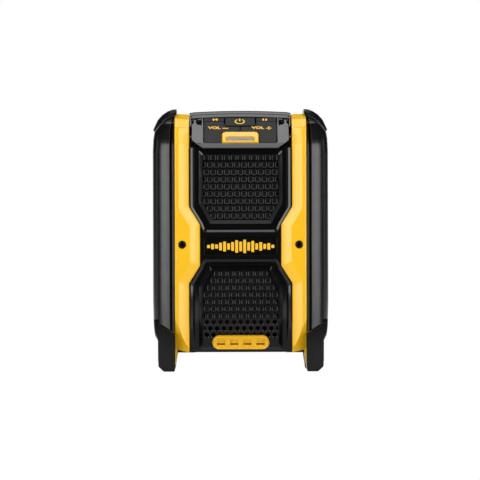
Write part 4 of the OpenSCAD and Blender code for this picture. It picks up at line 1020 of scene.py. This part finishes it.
# CAD nodes that are used as they are, by finish
PLAIN_NODES = {
    "dark_plastic": ("bass_port_tube", "button_carrier", "aux_jack", "power_jack", "driver_baffle"),
    "board": ("button_circuit_board", "main_circuit_board", "socket_board"),
    "brass": ("terminal_blades",), "steel": ("usb_port", "driver_screws", "board_screws"),
    "foam": ("upper_gasket", "lower_gasket", "upper_surround", "lower_surround"),
    "driver_metal": ("upper_driver_frame", "lower_driver_frame", "upper_magnet", "lower_magnet"),
    "cone_paper": ("upper_cone", "lower_cone"), "cloth": ("upper_cloth", "lower_cloth"),
    "screw": ("rear_screws",),
}


def body_of(node):
    for body, nodes in frame["record"]["behaviour"]["bodies"].items():
        if node in nodes:
            return body
    raise ValueError("no body holds " + node)


def slot_of(node):
    return next(s["material_slot"] for s in frame["record"]["subparts"] if s["node"] == node)


class SPEAKER_OT_mouldings(bpy.types.Operator):
    """Rounds the edges of the moulded pieces"""
    bl_idname = "speaker.mouldings"
    bl_label = "Mouldings"

    def execute(self, context):
        for node, (width, finish) in SOFT_NODES.items():
            piece(node + "_moulding", softened(node, width), slot_of(node), finish, (node,), body_of(node))
        piece("front_panel_shell", front_panel_mesh("front_panel_shell"), "black_plastic",
              stands_for=("front_panel",))
        return {"FINISHED"}


class SPEAKER_OT_side_frames(bpy.types.Operator):
    """Makes the waisted yellow side frames and their screws"""
    bl_idname = "speaker.side_frames"
    bl_label = "Side frames"

    def execute(self, context):
        right = side_frame_mesh("right_band")
        left = mirrored(right, "left_band")
        for side, mesh in (("right", right), ("left", left)):
            piece(side + "_band", mesh, "yellow_plastic", stands_for=(side + "_side_frame",), sharp=50)
        heads = joined("frame_screw_heads", [screw_mesh(x) for x in (-SCREW_X, SCREW_X)])
        piece("frame_screw_heads", heads, "black_screw", "screw", ("side_frame_screws",), sharp=30)
        return {"FINISHED"}


class SPEAKER_OT_bumpers(bpy.types.Operator):
    """Makes the rubber bumpers with their feet and corner guards"""
    bl_idname = "speaker.bumpers"
    bl_label = "Bumpers"

    def execute(self, context):
        for part, maker, node in (("bumper", bumper_mesh, "bumper"), ("guard", guard_mesh, "corner_guard")):
            right = maker("right_" + part)
            left = mirrored(right, "left_" + part)
            for side, mesh in (("right", right), ("left", left)):
                piece(side + "_" + part + "_rubber", mesh, "bumper_rubber",
                      stands_for=(side + "_" + node,), sharp=40)
        return {"FINISHED"}


class SPEAKER_OT_grilles(bpy.types.Operator):
    """Makes the perforated grille blocks and the port trim"""
    bl_idname = "speaker.grilles"
    bl_label = "Grilles"

    def execute(self, context):
        for node, maker, slot, finish, sharp in (
                ("upper_grille", upper_grille_mesh, "black_plastic", "grille_plastic", 8),
                ("lower_grille", lower_grille_mesh, "black_plastic", "grille_plastic", 8),
                ("port_trim", port_trim_mesh, "yellow_plastic", "yellow_plastic", 35)):
            piece(node + "_face", maker(node + "_face"), slot, finish, (node,), sharp=sharp)
        return {"FINISHED"}


class SPEAKER_OT_keypad(bpy.types.Operator):
    """Makes the top cover, the keys, their printed marks and the indicator"""
    bl_idname = "speaker.keypad"
    bl_label = "Top cover and keypad"

    def execute(self, context):
        piece("top_cover_shell", top_cover_mesh("top_cover_shell"), "black_plastic",
              stands_for=("top_cover",), sharp=40)
        for node, shape, side in (
                ("power_button", "power_button", 1), ("play_button", "play_button", 1),
                ("pair_button", "play_button", -1), ("volume_up_button", "volume_up_button", 1),
                ("volume_down_button", "volume_up_button", -1)):
            piece(node + "_key", key_mesh(node + "_key", shape, side), "key_rubber",
                  stands_for=(node,), body=body_of(node), sharp=40)
        piece("indicator_surround", bezel_mesh("indicator_surround"), "yellow_plastic",
              stands_for=("indicator_bezel",), sharp=50)
        ring = [arc(-0.4, 39.8, 4.3, 122, 418, 30), [[-0.4, 45.4], [-0.4, 40.4]]]
        waves = [arc(-24.3, 44.1, 2.05, turn - 62, turn + 62, 10) for turn in (0, 180)]
        waves.append([[-25.2, 44.1], [-23.4, 44.1]])
        bars = [[[x, 42.0], [x, 45.6]] for x in (22.6, 25.6)]
        marks = [("power_mark", "power_button",
                  strokes("power_mark", ring, 1.3, lambda x, v, w: on_deck(x, v, w + 0.35))),
                 ("pair_mark", "pair_button", strokes("pair_mark", waves, 1.3)),
                 ("pause_mark", "play_button", strokes("pause_mark", bars, 1.7))]
        for node, word, sign, width in (("volume_down_button", -25.2, -14.6, 6.0),
                                        ("volume_up_button", 17.3, 28.0, 5.4)):
            lines = [[[sign - width / 2, 27.4], [sign + width / 2, 27.4]]]
            if node == "volume_up_button":
                lines.append([[sign, 24.6], [sign, 30.6]])
            marks.append((node + "_mark", node, joined(node + "_mark", [
                lettering(node + "_word", "VOL", word, 28.1), strokes("sign", lines, 1.4)])))
        for name, body, mesh in marks:
            piece(name, mesh, "yellow_plastic", "print", body=body)
        return {"FINISHED"}


class SPEAKER_OT_badge(bpy.types.Operator):
    """Prints plain level bars on the badge plate"""
    bl_idname = "speaker.badge"
    bl_label = "Badge"

    def execute(self, context):
        heights = (3.0, 5.2, 4.0, 7.4, 9.6, 6.2, 8.6, 12.2, 9.4, 13.0, 8.2, 10.8, 6.0, 8.4, 4.8, 6.4, 3.2)
        pitch, middle, face = 3.9, 121.2, -59.2
        bars = []
        for i, tall in enumerate(heights):
            x = (i - (len(heights) - 1) / 2) * pitch
            outline = box_outline(x - 1.4, x + 1.4, middle - tall / 2, middle + tall / 2)
            bars.append(pad("bar", outline, [(0, 0.5), (0, -0.2), (0.12, -0.28)],
                            lambda px, pz, d: (px, face + d, pz), 0.5, 2))
        piece("badge_bars", joined("badge_bars", bars), "badge_plastic", "print")
        return {"FINISHED"}


class SPEAKER_OT_inner_pieces(bpy.types.Operator):
    """Gives the hidden and small pieces their finishes"""
    bl_idname = "speaker.inner_pieces"
    bl_label = "Inner pieces"

    def execute(self, context):
        for finish, nodes in PLAIN_NODES.items():
            for materials in [frame["nodes"][node].data.materials for node in nodes]:
                if not materials:
                    materials.append(shade(finish))
                for i in range(len(materials)):
                    materials[i] = shade(finish)
        return {"FINISHED"}


class SPEAKER_OT_stage(bpy.types.Operator):
    """Sets the floor, the lamps and the camera"""
    bl_idname = "speaker.stage"
    bl_label = "Stage"

    def lamp(self, name, azimuth, elevation, aim, size, watts):
        """A lamp 1.2 m from its aim, at an angle round from the front and one above the floor."""
        data = bpy.data.lights.new(name, "AREA")
        data.shape, data.size, data.size_y = "RECTANGLE", *size
        data.energy = watts
        a, e = math.radians(azimuth), math.radians(elevation)
        away = Vector((math.sin(a) * math.cos(e), -math.cos(a) * math.cos(e), math.sin(e)))
        obj = linked(name, data)
        obj.location = aim + 1.2 * away
        obj.rotation_euler = (aim - obj.location).to_track_quat("-Z", "Y").to_euler()
        obj.visible_camera = False

    def execute(self, context):
        scene = context.scene
        cam = scene.speaker_camera
        middle = (cad_box[0] + cad_box[1]) / 2
        data = bpy.data.cameras.new("camera")
        obj = linked("camera", data)
        data.sensor_width = 36
        # 0.97 mm a pixel at the front of the side frames, in a square picture
        front, pixel, wide = cam.distance - STRAP_FRONT * MM, 0.97 * MM, 480
        data.lens = data.sensor_width * front / (wide * pixel)
        a = cam.yaw
        obj.location = (-math.sin(a) * cam.distance, -math.cos(a) * cam.distance, cam.height)
        obj.rotation_euler = (math.radians(90), cam.roll, -a)
        data.shift_x, data.shift_y = -0.32 / wide, (370.9 - 239.5 - cam.height / pixel) / wide
        scene.camera = obj

        floor = rings_mesh("floor", [[(x, y, z) for x, y in box_outline(-3000, 3000, -3000, 3000)]
                                     for z in (-2, 0)])
        f = Finish("floor", roughness=0.6)
        f.feed(base_color=f.tinted(f.noise(3), (0.82, 0.82, 0.82), (0.86, 0.86, 0.86)))
        camera_ray, glossy, through = f.rays()
        # mirrored in the speaker, the floor carries painted shade under it and towards the camera, and a
        # painted lit band in front of it
        behind = f.node("ShaderNodeSeparateXYZ", {0: f.place}, "Y")
        run = f.node("ShaderNodeMapRange", {"Value": behind, "From Min": -1.0, "From Max": 0.2})
        stops = [(spot, (k, k, k, 1)) for spot, k in (
            (0, 0.1), (0.46, 0.25), (0.58, 0.9), (0.67, 0.9), (0.73, 0.4), (0.79, 0.4), (0.85, 1.0))]
        shaded = f.node("ShaderNodeValToRGB", {0: run}, stops=stops)
        colour = f.node("ShaderNodeMix", {"Factor": glossy, "A": (1, 1, 1, 1), "B": shaded}, "Result",
                        data_type="RGBA")
        glow = f.node("ShaderNodeEmission", {"Strength": 1.0, "Color": colour})
        both = f.node("ShaderNodeMixShader", {
            0: f.larger(camera_ray, f.larger(glossy, through)), 1: Wire(f, f.shader.outputs[0]), 2: glow})
        f.tree.links.new(both.socket, f.tree.nodes["Material Output"].inputs[0])
        floor.materials.append(f.material)
        floor_obj = linked("floor", floor)

        world = bpy.data.worlds.new("studio")
        scene.world = world
        world.use_nodes = True
        w = Graph(world.node_tree)
        camera_ray, glossy, through = w.rays()
        # the studio is white behind the speaker and dark behind the camera
        way = w.node("ShaderNodeSeparateXYZ", {0: w.node("ShaderNodeTexCoord", out="Generated")}, "Y")
        fade = w.node("ShaderNodeMapRange", {
            "Value": way, "From Min": 0.8, "From Max": 1.0, "To Min": 0.032, "To Max": 1.0},
            interpolation_type="SMOOTHSTEP")
        soft, mirrored_studio, white = [w.node("ShaderNodeBackground", {0: (1, 1, 1, 1), 1: strength})
                                        for strength in (0.25, fade, 1.0)]
        unseen = w.node("ShaderNodeMixShader", {0: glossy, 1: soft, 2: mirrored_studio})
        mix = w.node("ShaderNodeMixShader", {0: w.larger(camera_ray, through), 1: unseen, 2: white})
        w.tree.links.new(mix.socket, w.tree.nodes["World Output"].inputs[0])

        for side, name in ((-1, "left"), (1, "right")):
            self.lamp(name + "_strip", side * 30, 8, middle, (0.42, 1.0), 6.3)
            self.lamp(name + "_side", side * 76, 8, middle, (0.45, 1.0), 1.8)
        self.lamp("overhead", 180, 83, middle, (1.0, 0.92), 7.4)
        scene.view_settings.view_transform = "Standard"
        return {"FINISHED"}


class SPEAKER_PT_panel(bpy.types.Panel):
    """Lists the speaker's pieces"""
    bl_label = "Speaker"
    bl_space_type = "VIEW_3D"
    bl_region_type = "UI"
    bl_category = "Speaker"

    def draw(self, context):
        for group in (context.scene.speaker_colours, context.scene.speaker_camera):
            for key in group.__annotations__:
                self.layout.prop(group, key)
        for operator in OPERATORS:
            self.layout.operator(operator.bl_idname)


GROUPS = {"speaker_colours": SpeakerColours, "speaker_camera": SpeakerCamera}
OPERATORS = (SPEAKER_OT_mouldings, SPEAKER_OT_side_frames, SPEAKER_OT_bumpers, SPEAKER_OT_grilles,
             SPEAKER_OT_keypad, SPEAKER_OT_badge, SPEAKER_OT_inner_pieces, SPEAKER_OT_stage)


def register():
    for name, group in GROUPS.items():
        bpy.utils.register_class(group)
        setattr(bpy.types.Scene, name, bpy.props.PointerProperty(type=group))
    for item in (*OPERATORS, SPEAKER_PT_panel):
        bpy.utils.register_class(item)


def unregister():
    for item in (SPEAKER_PT_panel, *reversed(OPERATORS)):
        bpy.utils.unregister_class(item)
    for name, group in reversed(GROUPS.items()):
        delattr(bpy.types.Scene, name)
        bpy.utils.unregister_class(group)


def main():
    register()
    for operator in OPERATORS:
        group, name = operator.bl_idname.split(".")
        getattr(getattr(bpy.ops, group), name)()


if __name__ == "__main__":
    main()
